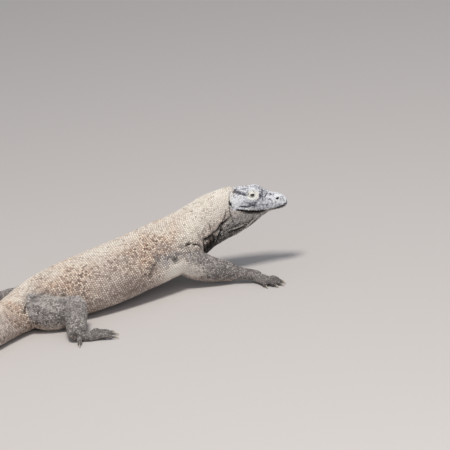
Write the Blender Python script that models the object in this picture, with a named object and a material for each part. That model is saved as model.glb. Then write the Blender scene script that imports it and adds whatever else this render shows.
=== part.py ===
"""Komodo dragon at life size, lying on its belly with the head raised and turned to the right.

The body is one long loft of upright slices, set along a curved line from the snout to the tail tip and
parted into head, jaw, throat, neck, trunk and four lengths of tail. Each leg is three rounded segments,
cut to fit its neighbour, and each foot ends in five toes with a claw apiece. Everything that touches the
floor is trimmed flat by it. Metres, +Z up, +X forwards; the animal's right side is -Y.
"""

import math

import bmesh
import bpy
from mathutils import Matrix, Vector

# --- driving dimensions -------------------------------------------------------------------------------
TOTAL_LENGTH = 2.30  # snout to tail tip, along the body's line
HEAD_END = 0.205  # distances from the snout tip, along the same line
NECK_END = 0.375
HIPS = 0.945  # the slice that lies on the Y axis until the last shift
TRUNK_END = 1.04
TAIL_CUTS = (1.30, 1.59, 1.93)
GAP = 0.0004  # clearance between neighbouring pieces
BODY_GAP = 0.0009  # clearance between the body and the legs
CUTTER_REACH = 0.5  # how far a cutting box stands past what it cuts

# The head is measured from a straight line along it, just above the closed mouth.
HEAD_LINE_AT_SNOUT = 0.219  # its height above the floor
HEAD_LINE_RISE = 0.134  # its rise per metre back from the snout
MOUTH_DEPTH = 0.001  # of the mouth below that line at the snout
MOUTH_DEEPENS = 0.14  # and by how much more per metre back
JAW_DEPTH = 0.018  # of the lower jaw's underside below the line, at the snout
JAW_DEEPENS = 0.18  # by how much more per metre back, down to where the throat begins

EYE_DISTANCE = 0.119
EYE_RADIUS = 0.0115
EYE_CENTRE_OUT = 0.0310
EYE_CENTRE_UP = 0.0405
ORBIT_OUT = 0.0085  # how far outside the eye's centre the hollow round it lies
ORBIT_SIZE = (0.0175, 0.0100, 0.0120)  # half sizes of that hollow along, out and up
NOSTRIL_AT = (0.0300, 0.0255, 0.0240)  # distance back, out and up from the head line
NOSTRIL_SIZE = (0.0060, 0.0045, 0.0035)
EAR_AT = (0.192, 0.0555, 0.0120)
EAR_SIZE = (0.0045, 0.0065, 0.0130)

# Points round each kind of slice, slices along a toe, and distances between the body's slices.
TOE_ROUND = 6
CLAW_ROUND = 5
LEG_ROUND = 10
BODY_ROUND = 20
HEAD_ROUND = 22
TOE_SLICES = 5
HEAD_STEP = 0.016
NECK_STEP = 0.018
TRUNK_STEP = 0.048
TAIL_STEP = 0.066
SNOUT_TIP = (0.0, 0.0015, 0.004, 0.008, 0.013, 0.020, 0.029)  # slices where the snout rounds off

# Degrees that the body's line is turned to the left of +X, at distances from the snout.
HEADINGS = (
    (0.00, -27),
    (0.20, -27),
    (0.30, -15),
    (0.41, -1),
    (0.88, 0),
    (1.02, 17),
    (1.18, 31),
    (1.40, 27),
    (1.75, -2),
    (2.05, -32),
    (2.30, -46),
)

# Slices of the head: distance, half width, then roof, widest level and chin above the head line,
# then how square the upper and lower halves are (2 is an ellipse, less is a keel).
HEAD_SLICES = (
    (0.000, 0.0080, 0.0175, 0.0105, 0.0030, 2.0, 2.0),
    (0.004, 0.0155, 0.0240, 0.0075, -0.0070, 2.1, 2.0),
    (0.012, 0.0220, 0.0305, 0.0050, -0.0145, 2.3, 2.0),
    (0.030, 0.0280, 0.0375, 0.0030, -0.0200, 2.4, 2.0),
    (0.055, 0.0315, 0.0405, 0.0020, -0.0255, 2.5, 1.9),
    (0.078, 0.0355, 0.0520, 0.0020, -0.0375, 2.6, 1.7),
    (0.100, 0.0415, 0.0665, 0.0020, -0.0535, 3.2, 1.6),
    (0.121, 0.0450, 0.0620, 0.0010, -0.0715, 3.2, 1.6),
    (0.145, 0.0500, 0.0590, 0.0000, -0.0895, 2.7, 1.6),
    (0.170, 0.0540, 0.0570, -0.0040, -0.1060, 2.4, 1.6),
    (0.200, 0.0550, 0.0575, -0.0120, -0.1225, 2.2, 1.7),
)

# Slices of the rest: distance, half width, then back, widest level and belly above the floor.
BODY_SLICES = (
    (0.230, 0.0580, 0.2995, 0.2200, 0.1140, 2.1, 1.8),
    (0.280, 0.0700, 0.2875, 0.1900, 0.0930, 2.1, 1.9),
    (0.330, 0.0910, 0.2670, 0.1580, 0.0660, 2.1, 2.0),
    (0.395, 0.1170, 0.2420, 0.1200, 0.0420, 2.1, 2.1),
    (0.490, 0.1300, 0.2270, 0.1000, 0.0300, 2.1, 2.2),
    (0.590, 0.1390, 0.2110, 0.0860, 0.0190, 2.1, 2.2),
    (0.690, 0.1430, 0.1980, 0.0770, 0.0050, 2.1, 2.3),
    (0.790, 0.1370, 0.1870, 0.0710, -0.0025, 2.1, 2.3),
    (0.870, 0.1200, 0.1770, 0.0670, -0.0030, 2.1, 2.3),
    (0.945, 0.1020, 0.1640, 0.0640, -0.0030, 2.1, 2.2),
    (1.020, 0.0850, 0.1450, 0.0620, -0.0030, 2.0, 2.2),
    (1.090, 0.0730, 0.1290, 0.0580, -0.0030, 1.9, 2.2),
    (1.190, 0.0610, 0.1140, 0.0500, -0.0030, 1.9, 2.1),
    (1.340, 0.0480, 0.0950, 0.0410, -0.0030, 1.8, 2.1),
    (1.540, 0.0355, 0.0730, 0.0310, -0.0025, 1.8, 2.0),
    (1.800, 0.0240, 0.0530, 0.0210, -0.0020, 1.8, 2.0),
    (2.050, 0.0145, 0.0340, 0.0130, -0.0015, 1.8, 2.0),
    (2.220, 0.0075, 0.0185, 0.0070, -0.0010, 1.9, 2.0),
    (2.300, 0.0030, 0.0075, 0.0030, -0.0005, 2.0, 2.0),
)

# Leg segments: share of the way along, half width across and half depth.
UPPER_ARM = ((0.0, 0.052, 0.056), (0.35, 0.046, 0.051), (0.7, 0.040, 0.043), (1.0, 0.034, 0.036))
FOREARM = ((0.0, 0.028, 0.028), (0.3, 0.026, 0.024), (0.7, 0.022, 0.020), (1.0, 0.021, 0.017))
THIGH = ((0.0, 0.062, 0.066), (0.4, 0.058, 0.062), (0.75, 0.047, 0.052), (1.0, 0.041, 0.043))
SHANK = ((0.0, 0.035, 0.036), (0.3, 0.041, 0.040), (0.7, 0.037, 0.035), (1.0, 0.032, 0.028))
PALM = ((0.0, 0.021, 0.019), (0.4, 0.025, 0.017), (0.8, 0.028, 0.014), (1.0, 0.026, 0.011))

# Toes, inner one first: degrees turned outwards, length without the claw, distance of the base out
# from the foot's middle line, and share of the palm's length at which it starts.
HAND_TOES = (
    (-20, 0.038, -0.0165, 0.76),
    (-9, 0.052, -0.0095, 0.86),
    (-1, 0.058, 0.000, 0.90),
    (8, 0.053, 0.0095, 0.86),
    (28, 0.036, 0.0165, 0.72),
)
FOOT_TOES = (
    (-56, 0.044, -0.020, 0.70),
    (-25, 0.053, -0.012, 0.88),
    (-7, 0.061, 0.001, 0.92),
    (9, 0.066, 0.014, 0.88),
    (86, 0.046, 0.012, 0.14),
)
# Each leg: its side (-1 is right), its joints as (x, y, z) with y outwards, how far the top segment sags
# between its joints, and the heading of hand and foot in degrees outwards.
LEGS = (
    {
        "name": "right",
        "side": -1,
        "arm": ((0.532, 0.086, 0.092), (0.648, 0.160, 0.040), (0.718, 0.230, 0.026)),
        "arm_sag": 0.008,
        "hand_heading": 70,
        "leg": ((-0.054, 0.060, 0.073), (0.052, 0.168, 0.078), (-0.004, 0.276, 0.034)),
        "leg_sag": 0.020,
        "foot_heading": 30,
    },
    {
        "name": "left",
        "side": 1,
        "arm": ((0.532, 0.086, 0.088), (0.596, 0.196, 0.040), (0.695, 0.262, 0.024)),
        "arm_sag": 0.010,
        "hand_heading": 30,
        "leg": ((-0.044, 0.056, 0.063), (0.022, 0.150, 0.047), (-0.070, 0.258, 0.029)),
        "leg_sag": 0.008,
        "foot_heading": 24,
    },
)
LIMBS = (
    {
        "joints": "arm",
        "sag": "arm_sag",
        "segments": (("upper_arm", UPPER_ARM), ("forearm", FOREARM)),
        "ends_in": "hand",
        "toes": HAND_TOES,
    },
    {
        "joints": "leg",
        "sag": "leg_sag",
        "segments": (("thigh", THIGH), ("shank", SHANK)),
        "ends_in": "foot",
        "toes": FOOT_TOES,
    },
)
PALM_LENGTH = {"hand": 0.050, "foot": 0.066}
PALM_HEIGHTS = (0.018, 0.0085)  # of its centre line, at the wrist or ankle and at the toes
TOE_RADII = ((0.0, 0.0112), (0.45, 0.0101), (0.8, 0.0094), (1.0, 0.0076))
TOE_ARCH = 0.0065  # how far the knuckle stands above the line of a toe
TOE_BASE = 0.0095  # height of a toe's centre where it starts, and at its tip
TOE_REST = 0.0085
CLAW_LENGTH = {"hand": 0.024, "foot": 0.026}
CLAW_RADIUS = 0.0056
CLAW_TIP_RADIUS = 0.0006
CLAW_FLATNESS = 0.7  # width over depth
CLAW_BENDS = (0, 14, -22, -56)  # degrees that each length of a claw is pitched from its toe

# Colour and roughness of each material.
FINISHES = {
    "hide": ((0.42, 0.36, 0.28), 0.65),
    "limb": ((0.21, 0.21, 0.21), 0.65),
    "head": ((0.33, 0.35, 0.37), 0.55),
    "claw": ((0.20, 0.17, 0.14), 0.40),
    "eye": ((0.05, 0.035, 0.02), 0.15),
}


# --- smooth lines and slices --------------------------------------------------------------------------
def sample(rows, x):
    """The rows' values at x, along smooth curves through them that never overshoot."""
    x = min(max(x, rows[0][0]), rows[-1][0])
    last = len(rows) - 2
    i = next((k for k in range(last) if x <= rows[k + 1][0]), last)
    span = rows[i + 1][0] - rows[i][0]
    t = (x - rows[i][0]) / span

    def slope(k, column):
        if k in (0, len(rows) - 1):
            return 0.0
        before = (rows[k][column] - rows[k - 1][column]) / (rows[k][0] - rows[k - 1][0])
        after = (rows[k + 1][column] - rows[k][column]) / (rows[k + 1][0] - rows[k][0])
        return 2 * before * after / (before + after) if before * after > 0 else 0.0

    values = []
    for column in range(1, len(rows[0])):
        start, end = rows[i][column], rows[i + 1][column]
        rise = (2 * t**3 - 3 * t**2 + 1) * start + (3 * t**2 - 2 * t**3) * end
        bend = (t**3 - 2 * t**2 + t) * slope(i, column) + (t**3 - t**2) * slope(i + 1, column)
        values.append(rise + bend * span)
    return values


def head_line(distance):
    return HEAD_LINE_AT_SNOUT + HEAD_LINE_RISE * distance


def all_slices():
    """Every slice with its heights above the floor."""
    head = []
    for distance, width, roof, widest, chin, *shape in HEAD_SLICES:
        level = head_line(distance)
        head.append((distance, width, level + roof, level + widest, level + chin, *shape))
    return tuple(head) + BODY_SLICES


def plan_line():
    """Points (distance, x, y) along the body's line, with the hips' slice at x = y = 0."""
    step = 0.005
    count = round(TOTAL_LENGTH / step)
    line = [(0.0, 0.0, 0.0)]
    for k in range(count):
        heading = math.radians(sample(HEADINGS, (k + 0.5) * step)[0])
        _, x, y = line[-1]
        line.append(((k + 1) * step, x - step * math.cos(heading), y - step * math.sin(heading)))
    _, hips_x, hips_y = line[round(HIPS / step)]
    return [(distance, x - hips_x, y - hips_y) for distance, x, y in line]


SLICES = all_slices()
PLAN = plan_line()


def body_point(distance, left, height):
    """The point that lies this far from the snout, this far left of the body's line and this high."""
    x, y = sample(PLAN, distance)
    heading = math.radians(sample(HEADINGS, distance)[0])
    return Vector((x - left * math.sin(heading), y + left * math.cos(heading), height))


def power(value, exponent):
    return math.copysign(abs(value) ** exponent, value)


def body_ring(distance, count, grow=0.0):
    """One upright slice of the body, as points round it from its left side over the back."""
    width, back, widest, belly, square_top, square_bottom = sample(SLICES, distance)
    ring = []
    for k in range(count):
        angle = 2 * math.pi * k / count
        across, up = math.cos(angle), math.sin(angle)
        exponent = 2 / (square_top if up > 0 else square_bottom)
        reach = back - widest if up > 0 else widest - belly
        height = widest + (reach + grow) * power(up, exponent)
        ring.append(body_point(distance, (width + grow) * power(across, exponent), height))
    return ring


def spread(start, end, step):
    """Even distances from start to end, about step apart."""
    count = max(1, round((end - start) / step))
    return [start + (end - start) * k / count for k in range(count + 1)]


def frame_along(direction):
    """Two directions across this one: level, and up."""
    across = direction.cross(Vector((0, 0, 1))).normalized()
    return across, across.cross(direction).normalized()


# --- meshes and objects -------------------------------------------------------------------------------
def loft(rings):
    """A closed mesh through rings of equal count, with a face over each end.

    Its sides are triangles, all split the same way, so that a larger copy keeps clear all round.
    """
    mesh = bmesh.new()
    rows = [[mesh.verts.new(point) for point in ring] for ring in rings]
    count = len(rows[0])
    for row, following in zip(rows, rows[1:]):
        for k in range(count):
            j = (k + 1) % count
            mesh.faces.new((row[k], row[j], following[k]))
            mesh.faces.new((row[j], following[j], following[k]))
    mesh.faces.new(list(reversed(rows[0])))
    mesh.faces.new(rows[-1])
    bmesh.ops.recalc_face_normals(mesh, faces=mesh.faces)
    return mesh


def keep_below(mesh, point, normal):
    """Cuts the mesh by a plane, drops what lies on the normal's side, and closes the cut."""
    geometry = list(mesh.verts) + list(mesh.edges) + list(mesh.faces)
    bmesh.ops.bisect_plane(mesh, geom=geometry, plane_co=point, plane_no=normal, clear_outer=True)
    rim = [edge for edge in mesh.edges if edge.is_boundary]
    bmesh.ops.contextual_create(mesh, geom=rim)
    bmesh.ops.recalc_face_normals(mesh, faces=mesh.faces)


def add_object(name, mesh, collection, material=None):
    data = bpy.data.meshes.new(name)
    mesh.to_mesh(data)
    mesh.free()
    obj = bpy.data.objects.new(name, data)
    collection.objects.link(obj)
    if material:
        data.materials.append(material)
        data.shade_smooth()
        data.set_sharp_from_angle(angle=math.radians(45))
    return obj


def add_cutter(name, mesh):
    obj = add_object(name, mesh, CUTTERS)
    obj.hide_render = True
    obj.display_type = "WIRE"
    return obj


def combine(obj, cutter, operation="DIFFERENCE"):
    modifier = obj.modifiers.new(f"{operation.lower()}_{cutter.name}", "BOOLEAN")
    modifier.object = cutter
    modifier.operation = operation
    modifier.solver = "EXACT"


def ellipsoid(centre, sizes, axes, segments=10, rings=6):
    """An ellipsoid mesh whose half sizes lie along the three axes."""
    mesh = bmesh.new()
    bmesh.ops.create_uvsphere(mesh, u_segments=segments, v_segments=rings, radius=1.0)
    placed = Matrix([axis * size for axis, size in zip(axes, sizes)]).transposed().to_4x4()
    placed.translation = centre
    mesh.transform(placed)
    bmesh.ops.recalc_face_normals(mesh, faces=mesh.faces)
    return mesh


def material_of(name, colour, roughness):
    material = bpy.data.materials.new(name)
    material.use_nodes = True
    shader = material.node_tree.nodes["Principled BSDF"]
    shader.inputs["Base Color"].default_value = (*colour, 1)
    shader.inputs["Roughness"].default_value = roughness
    shader.inputs["Metallic"].default_value = 0.0
    return material


# --- head, body and tail ------------------------------------------------------------------------------
def body_mesh(distances, count, grow=0.0):
    return loft([body_ring(distance, count, grow) for distance in distances])


def head_mesh():
    """The head with the throat under it."""
    rest = spread(SNOUT_TIP[-1] + HEAD_STEP, HEAD_END - GAP / 2, HEAD_STEP)
    return body_mesh([*SNOUT_TIP, *rest], HEAD_ROUND)


def head_axes():
    """Forwards, left and up of the head, with up square to the head line."""
    heading = math.radians(HEADINGS[0][1])
    forwards = Vector((math.cos(heading), math.sin(heading), -HEAD_LINE_RISE)).normalized()
    left = Vector((-math.sin(heading), math.cos(heading), 0))
    return forwards, left, forwards.cross(left)


def head_spot(distance, out, up, side):
    return body_point(distance, side * out, head_line(distance) + up)


def parting(depth, deepens):
    """A plane across the head that lies this deep below the head line: a point of it, and its way up."""
    front, rear = (
        body_point(distance, 0, head_line(distance) - depth - deepens * distance)
        for distance in (0, HEAD_END)
    )
    return front, (front - rear).cross(head_axes()[1]).normalized()


def head_pieces():
    """The head above the mouth, the lower jaw under it and the throat that hangs from the jaw."""
    forwards, left, up = head_axes()
    lips, mouth_up = parting(MOUTH_DEPTH, MOUTH_DEEPENS)
    chin, jaw_up = parting(JAW_DEPTH, JAW_DEEPENS)

    head = head_mesh()
    keep_below(head, lips + mouth_up * GAP / 2, -mouth_up)
    jaw = head_mesh()
    keep_below(jaw, lips - mouth_up * GAP / 2, mouth_up)
    keep_below(jaw, chin + jaw_up * GAP / 2, -jaw_up)
    throat = head_mesh()
    keep_below(throat, chin - jaw_up * GAP / 2, jaw_up)

    head = add_object("head", head, PARTS, MATERIALS["head"])
    add_object("lower_jaw", jaw, PARTS, MATERIALS["head"])
    add_object("throat", throat, PARTS, MATERIALS["head"])
    for name, side in (("right", -1), ("left", 1)):
        axes = (forwards, left, up)
        eye = head_spot(EYE_DISTANCE, EYE_CENTRE_OUT, EYE_CENTRE_UP, side)
        ball = (EYE_RADIUS,) * 3
        socket = (EYE_RADIUS + GAP,) * 3
        orbit = eye + left * side * ORBIT_OUT
        add_object(f"{name}_eye", ellipsoid(eye, ball, axes, 12, 7), PARTS, MATERIALS["eye"])
        combine(head, add_cutter(f"{name}_orbit", ellipsoid(orbit, ORBIT_SIZE, axes)))
        combine(head, add_cutter(f"{name}_socket", ellipsoid(eye, socket, axes, 12, 7)))
        for hollow, place, size in (("nostril", NOSTRIL_AT, NOSTRIL_SIZE), ("ear", EAR_AT, EAR_SIZE)):
            mesh = ellipsoid(head_spot(*place, side), size, axes, 8, 6)
            combine(head, add_cutter(f"{name}_{hollow}", mesh))


def body_lengths():
    """Name and slice distances of each piece from the neck back, with a gap between the pieces."""
    cuts = (TRUNK_END, *TAIL_CUTS, TOTAL_LENGTH)
    pieces = [("neck", HEAD_END, NECK_END, NECK_STEP), ("trunk", NECK_END, TRUNK_END, TRUNK_STEP)]
    for name, start, end in zip(("base", "middle", "rear", "tip"), cuts, cuts[1:]):
        pieces.append((f"tail_{name}", start, end, TAIL_STEP))
    lengths = {}
    for name, start, end, step in pieces:
        last = end if end == TOTAL_LENGTH else end - GAP / 2
        lengths[name] = spread(start + GAP / 2, last, step)
    return lengths


def body_pieces():
    """Neck, trunk and tail. Whatever lies on the floor is trimmed by it."""
    for name, distances in body_lengths().items():
        obj = add_object(name, body_mesh(distances, BODY_ROUND), PARTS, MATERIALS["hide"])
        if name != "neck":
            combine(obj, FLOOR)


def body_cutter():
    """Neck, trunk and tail base in one, larger all round by the gap: the room that the legs leave."""
    lengths = body_lengths()
    distances = lengths["neck"] + lengths["trunk"] + lengths["tail_base"]
    return add_cutter("body_cutter", body_mesh(distances, BODY_ROUND, BODY_GAP))


# --- legs ---------------------------------------------------------------------------------------------
def segment_mesh(start, end, sizes, sag=0.0, grow=0.0, count=LEG_ROUND):
    """A leg segment from joint to joint, with a rounded end past each joint."""
    direction = (end - start).normalized()
    across, up = frame_along(direction)
    dome = [math.radians(angle) for angle in (65, 34)]
    stations = [(0.0, -math.sin(a), math.cos(a)) for a in dome]
    stations += [(k / 4, 0.0, 1.0) for k in range(5)]
    stations += [(1.0, math.sin(a), math.cos(a)) for a in reversed(dome)]
    rings = []
    for share, past, scale in stations:
        wide, deep = (size + grow for size in sample(sizes, share))
        centre = start.lerp(end, share) + direction * past * min(wide, deep)
        centre.z -= sag * math.sin(math.pi * share)
        wide, deep = wide * scale, deep * scale
        turns = [2 * math.pi * k / count for k in range(count)]
        rings.append([centre + across * math.cos(a) * wide + up * math.sin(a) * deep for a in turns])
    return loft(rings)


def toe_points(base, heading, length):
    """The centre line of a toe: over its knuckle and down to its tip."""
    along = Vector((math.cos(heading), math.sin(heading), 0))
    points = []
    for k in range(TOE_SLICES):
        share = k / (TOE_SLICES - 1)
        height = base.z + (TOE_REST - base.z) * share + TOE_ARCH * math.sin(math.pi * share**0.8)
        points.append(Vector((base.x, base.y, height)) + along * length * share)
    return points


def tube_mesh(points, radii, count, flat=1.0):
    """A tube through the points. Its slices are square to the line, and flat squashes them."""
    rings = []
    for k, point in enumerate(points):
        before, after = points[max(k - 1, 0)], points[min(k + 1, len(points) - 1)]
        across, up = frame_along((after - before).normalized())
        turns = [2 * math.pi * (i + 0.5) / count for i in range(count)]
        rings.append(
            [point + (across * math.cos(a) * flat + up * math.sin(a)) * radii[k] for a in turns]
        )
    return loft(rings)


def claw_mesh(tip, direction, length):
    """A claw that starts square to the toe's end and hooks down towards the floor."""
    level = Vector((direction.x, direction.y, 0)).normalized()
    lift = math.asin(direction.z)
    steps = len(CLAW_BENDS)
    points, radii = [tip + direction * GAP], [CLAW_RADIUS]
    for k, bend in enumerate(CLAW_BENDS):
        pitch = lift + math.radians(bend)
        forwards = level * math.cos(pitch) + Vector((0, 0, math.sin(pitch)))
        points.append(points[-1] + forwards * length / steps)
        radii.append(CLAW_RADIUS * (1 - (k + 1) / steps) ** 0.7 + CLAW_TIP_RADIUS)
    sunk = 2 * CLAW_TIP_RADIUS - points[-1].z
    if sunk > 0:
        points = [p + Vector((0, 0, sunk * (k / steps) ** 2)) for k, p in enumerate(points)]
    return tube_mesh(points, radii, CLAW_ROUND, CLAW_FLATNESS)


def foot_pieces(leg, kind, joint, toes, shin):
    """A hand or foot: the palm and its toes in one piece, and a claw for each toe."""
    side = leg["side"]
    heading = leg[f"{kind}_heading"]
    name = f"{leg['name']}_{kind}"
    turn = side * math.radians(heading)
    along = Vector((math.cos(turn), math.sin(turn), 0))
    left = Vector((-along.y, along.x, 0))
    heel = Vector((joint.x, joint.y, PALM_HEIGHTS[0]))
    front = heel + along * PALM_LENGTH[kind]
    front.z = PALM_HEIGHTS[1]
    palm = add_object(name, segment_mesh(heel, front, PALM), PARTS, MATERIALS["limb"])
    for k, (outwards, length, out, share) in enumerate(toes):
        base = heel + along * PALM_LENGTH[kind] * share + left * side * out
        base.z = TOE_BASE
        points = toe_points(base, turn + side * math.radians(outwards), length)
        radii = [sample(TOE_RADII, j / (TOE_SLICES - 1))[0] for j in range(TOE_SLICES)]
        toe = add_cutter(f"{name}_toe_{k + 1}", tube_mesh(points, radii, TOE_ROUND))
        combine(palm, toe, "UNION")
        direction = (points[-1] - points[-2]).normalized()
        claw = claw_mesh(points[-1], direction, CLAW_LENGTH[kind])
        add_object(f"{name}_claw_{k + 1}", claw, PARTS, MATERIALS["claw"])
    combine(palm, shin)
    combine(palm, FLOOR)


def leg_pieces(leg, limb):
    """Two segments and the foot of one leg, each cut to fit the piece that it grows from."""
    side = leg["side"]
    root, middle, end = (Vector((x, side * y, z)) for x, y, z in leg[limb["joints"]])
    sag = leg[limb["sag"]]
    (top_name, top_sizes), (low_name, low_sizes) = limb["segments"]
    top_name, low_name = f"{leg['name']}_{top_name}", f"{leg['name']}_{low_name}"
    top = add_object(top_name, segment_mesh(root, middle, top_sizes, sag), PARTS, MATERIALS["limb"])
    low = add_object(low_name, segment_mesh(middle, end, low_sizes), PARTS, MATERIALS["limb"])
    knee = add_cutter(f"{top_name}_cutter", segment_mesh(root, middle, top_sizes, sag, GAP))
    shin = add_cutter(f"{low_name}_cutter", segment_mesh(middle, end, low_sizes, 0.0, GAP))
    combine(low, knee)
    for piece in (top, low):
        combine(piece, BODY_CUTTER)
        combine(piece, FLOOR)
    foot_pieces(leg, limb["ends_in"], end, limb["toes"], shin)


# --- putting it together ------------------------------------------------------------------------------
def floor_mesh():
    mesh = bmesh.new()
    bmesh.ops.create_cube(mesh, size=1.0)
    size = 2 * TOTAL_LENGTH
    bmesh.ops.scale(mesh, vec=(size, size, CUTTER_REACH), verts=mesh.verts)
    bmesh.ops.translate(mesh, vec=(0, 0, -CUTTER_REACH / 2), verts=mesh.verts)
    return mesh


def centre_on_origin():
    """Shifts everything so that the origin lies on the floor, under the middle of the whole animal."""
    bpy.context.view_layer.update()
    graph = bpy.context.evaluated_depsgraph_get()
    corners = [
        obj.matrix_world @ Vector(corner)
        for obj in PARTS.objects
        for corner in obj.evaluated_get(graph).bound_box
    ]
    middle = [(min(c[i] for c in corners) + max(c[i] for c in corners)) / 2 for i in (0, 1)]
    for obj in (*PARTS.objects, *CUTTERS.objects):
        obj.location -= Vector((*middle, 0))


def new_collection(name):
    collection = bpy.data.collections.new(name)
    bpy.context.scene.collection.children.link(collection)
    return collection


for old in list(bpy.data.objects):
    bpy.data.objects.remove(old)
PARTS = new_collection("komodo_dragon")
CUTTERS = new_collection("cutters")
MATERIALS = {name: material_of(name, *finish) for name, finish in FINISHES.items()}
FLOOR = add_cutter("floor", floor_mesh())
BODY_CUTTER = body_cutter()
head_pieces()
body_pieces()
for sided_leg in LEGS:
    for limb_kind in LIMBS:
        leg_pieces(sided_leg, limb_kind)
centre_on_origin()
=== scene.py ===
"""A komodo dragon at rest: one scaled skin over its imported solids, with its eyes and claws."""

import heapq
import math
from collections import namedtuple

import bmesh
import bpy
import numpy as np
from mathutils import Matrix, Vector, noise
from mathutils.bvhtree import BVHTree
from mathutils.kdtree import KDTree

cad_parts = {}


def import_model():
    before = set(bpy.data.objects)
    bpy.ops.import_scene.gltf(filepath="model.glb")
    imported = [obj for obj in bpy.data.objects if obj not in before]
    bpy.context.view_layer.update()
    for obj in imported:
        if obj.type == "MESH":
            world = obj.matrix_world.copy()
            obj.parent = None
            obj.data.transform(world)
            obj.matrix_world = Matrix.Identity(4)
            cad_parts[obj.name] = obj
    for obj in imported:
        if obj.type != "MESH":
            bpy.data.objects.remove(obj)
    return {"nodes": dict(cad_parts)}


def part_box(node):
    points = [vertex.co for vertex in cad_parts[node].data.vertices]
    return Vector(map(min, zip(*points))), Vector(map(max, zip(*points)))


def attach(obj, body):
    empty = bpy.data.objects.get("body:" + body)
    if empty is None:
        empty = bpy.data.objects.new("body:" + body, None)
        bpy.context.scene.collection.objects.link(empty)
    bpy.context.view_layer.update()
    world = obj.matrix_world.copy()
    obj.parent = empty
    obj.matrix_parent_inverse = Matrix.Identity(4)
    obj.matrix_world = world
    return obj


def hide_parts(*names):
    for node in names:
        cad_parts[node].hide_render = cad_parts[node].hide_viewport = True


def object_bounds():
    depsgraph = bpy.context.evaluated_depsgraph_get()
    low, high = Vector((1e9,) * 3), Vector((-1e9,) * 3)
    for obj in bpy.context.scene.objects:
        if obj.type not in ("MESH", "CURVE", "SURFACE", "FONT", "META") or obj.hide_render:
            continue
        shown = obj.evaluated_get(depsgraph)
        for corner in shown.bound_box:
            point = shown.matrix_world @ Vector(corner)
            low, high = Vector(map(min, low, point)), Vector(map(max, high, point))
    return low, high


# ------------------------------------------------------------------ sizes, in metres
SIDES = {"right": -1.0, "left": 1.0}  # which way y runs
UP = np.array((0.0, 0.0, 1.0))
SEED = 7

VOXEL = 0.0035  # the grain in which the solids are joined
GAP_CLOSING = 0.0012  # how far the big solids grow before they are joined
TOE_GAP_CLOSING = 0.0004  # and the hands and feet, whose toes stay apart
COAT_DEPTH = 0.0012  # how far the skin lies inside the solids
FLOOR_CLEARANCE = 0.0007  # the skin stays this far above the floor, and the scales fill it
PLAIN_FACES = 0.42  # the share of its faces that the plain skin keeps

LINE_BELOW_EYE = 0.0405  # the head's own line, from which its features are placed
LINE_SLOPE = 0.134
EYEBALL = 0.0100  # its radius
CLAW_ROOT = 0.0055  # how far each claw reaches into its toe


# ------------------------------------------------------------------ arrays and meshes
def mesh_arrays(mesh):
    """The corners, edges and triangles of a mesh, as arrays."""
    points = np.empty(len(mesh.vertices) * 3)
    mesh.vertices.foreach_get("co", points)
    edges = np.empty(len(mesh.edges) * 2, np.int64)
    mesh.edges.foreach_get("vertices", edges)
    mesh.calc_loop_triangles()
    triangles = np.empty(len(mesh.loop_triangles) * 3, np.int64)
    mesh.loop_triangles.foreach_get("vertices", triangles)
    return points.reshape(-1, 3), edges.reshape(-1, 2), triangles.reshape(-1, 3)


def unit(vectors):
    """The same vectors, one long."""
    length = np.linalg.norm(vectors, axis=-1, keepdims=True)
    return vectors / np.maximum(length, 1e-12)


def ramp(values, low, high):
    """0 below low, 1 above high, and an easy slope between them."""
    t = np.clip((values - low) / (high - low), 0.0, 1.0)
    return t * t * (3.0 - 2.0 * t)


def band(values, rise, fall):
    """1 between two slopes, which are given by where each begins and ends, and 0 outside them."""
    return ramp(values, *rise) * (1.0 - ramp(values, *fall))


def bell(values, width):
    """A smooth hump, one high and about width wide on each side."""
    return np.exp(-((values / width) ** 2))


def between(at, along, table):
    """The rows of a table at places between its own rows, which lie at along."""
    return np.stack([np.interp(at, along, column) for column in table.T], 1)


def distances_to_line(points, line):
    """How far each point is from a line of straight pieces, and how far along it, from 0 to 1."""
    best = np.full(len(points), np.inf)
    share = np.zeros(len(points))
    steps = len(line) - 1
    for i in range(steps):
        start, along = line[i], line[i + 1] - line[i]
        t = np.clip(((points - start) @ along) / (along @ along), 0.0, 1.0)
        apart = np.linalg.norm(points - (start + t[:, None] * along), axis=1)
        nearer = apart < best
        best[nearer] = apart[nearer]
        share[nearer] = (i + t[nearer]) / steps
    return best, share


def corner_normals(points, triangles):
    """The outward direction at each corner."""
    a, b, c = (points[triangles[:, k]] for k in range(3))
    face = np.cross(b - a, c - a)
    total = np.zeros_like(points)
    for k in range(3):
        for axis in range(3):
            total[:, axis] += np.bincount(triangles[:, k], face[:, axis], len(points))
    return unit(total)


class Web:
    """Which corners of a mesh are neighbours, to even values out over its surface."""

    def __init__(self, edges, count):
        self.first, self.second = edges.T
        self.count = count
        self.degree = np.maximum(np.bincount(edges.ravel(), minlength=count), 1)

    def mean(self, values):
        """The mean of each corner's neighbours."""
        if values.ndim == 2:
            return np.stack([self.mean(column) for column in values.T], 1)
        total = np.bincount(self.first, values[self.second], self.count)
        total += np.bincount(self.second, values[self.first], self.count)
        return total / self.degree

    def smooth(self, values, rounds, share=0.5):
        """The values after that many rounds of moving towards the neighbours' mean."""
        for _ in range(rounds):
            values = values + share * (self.mean(values) - values)
        return values


def new_object(name, data):
    """An object with that mesh, lamp or camera, in the scene."""
    made = bpy.data.objects.new(name, data)
    bpy.context.scene.collection.objects.link(made)
    return made


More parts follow.
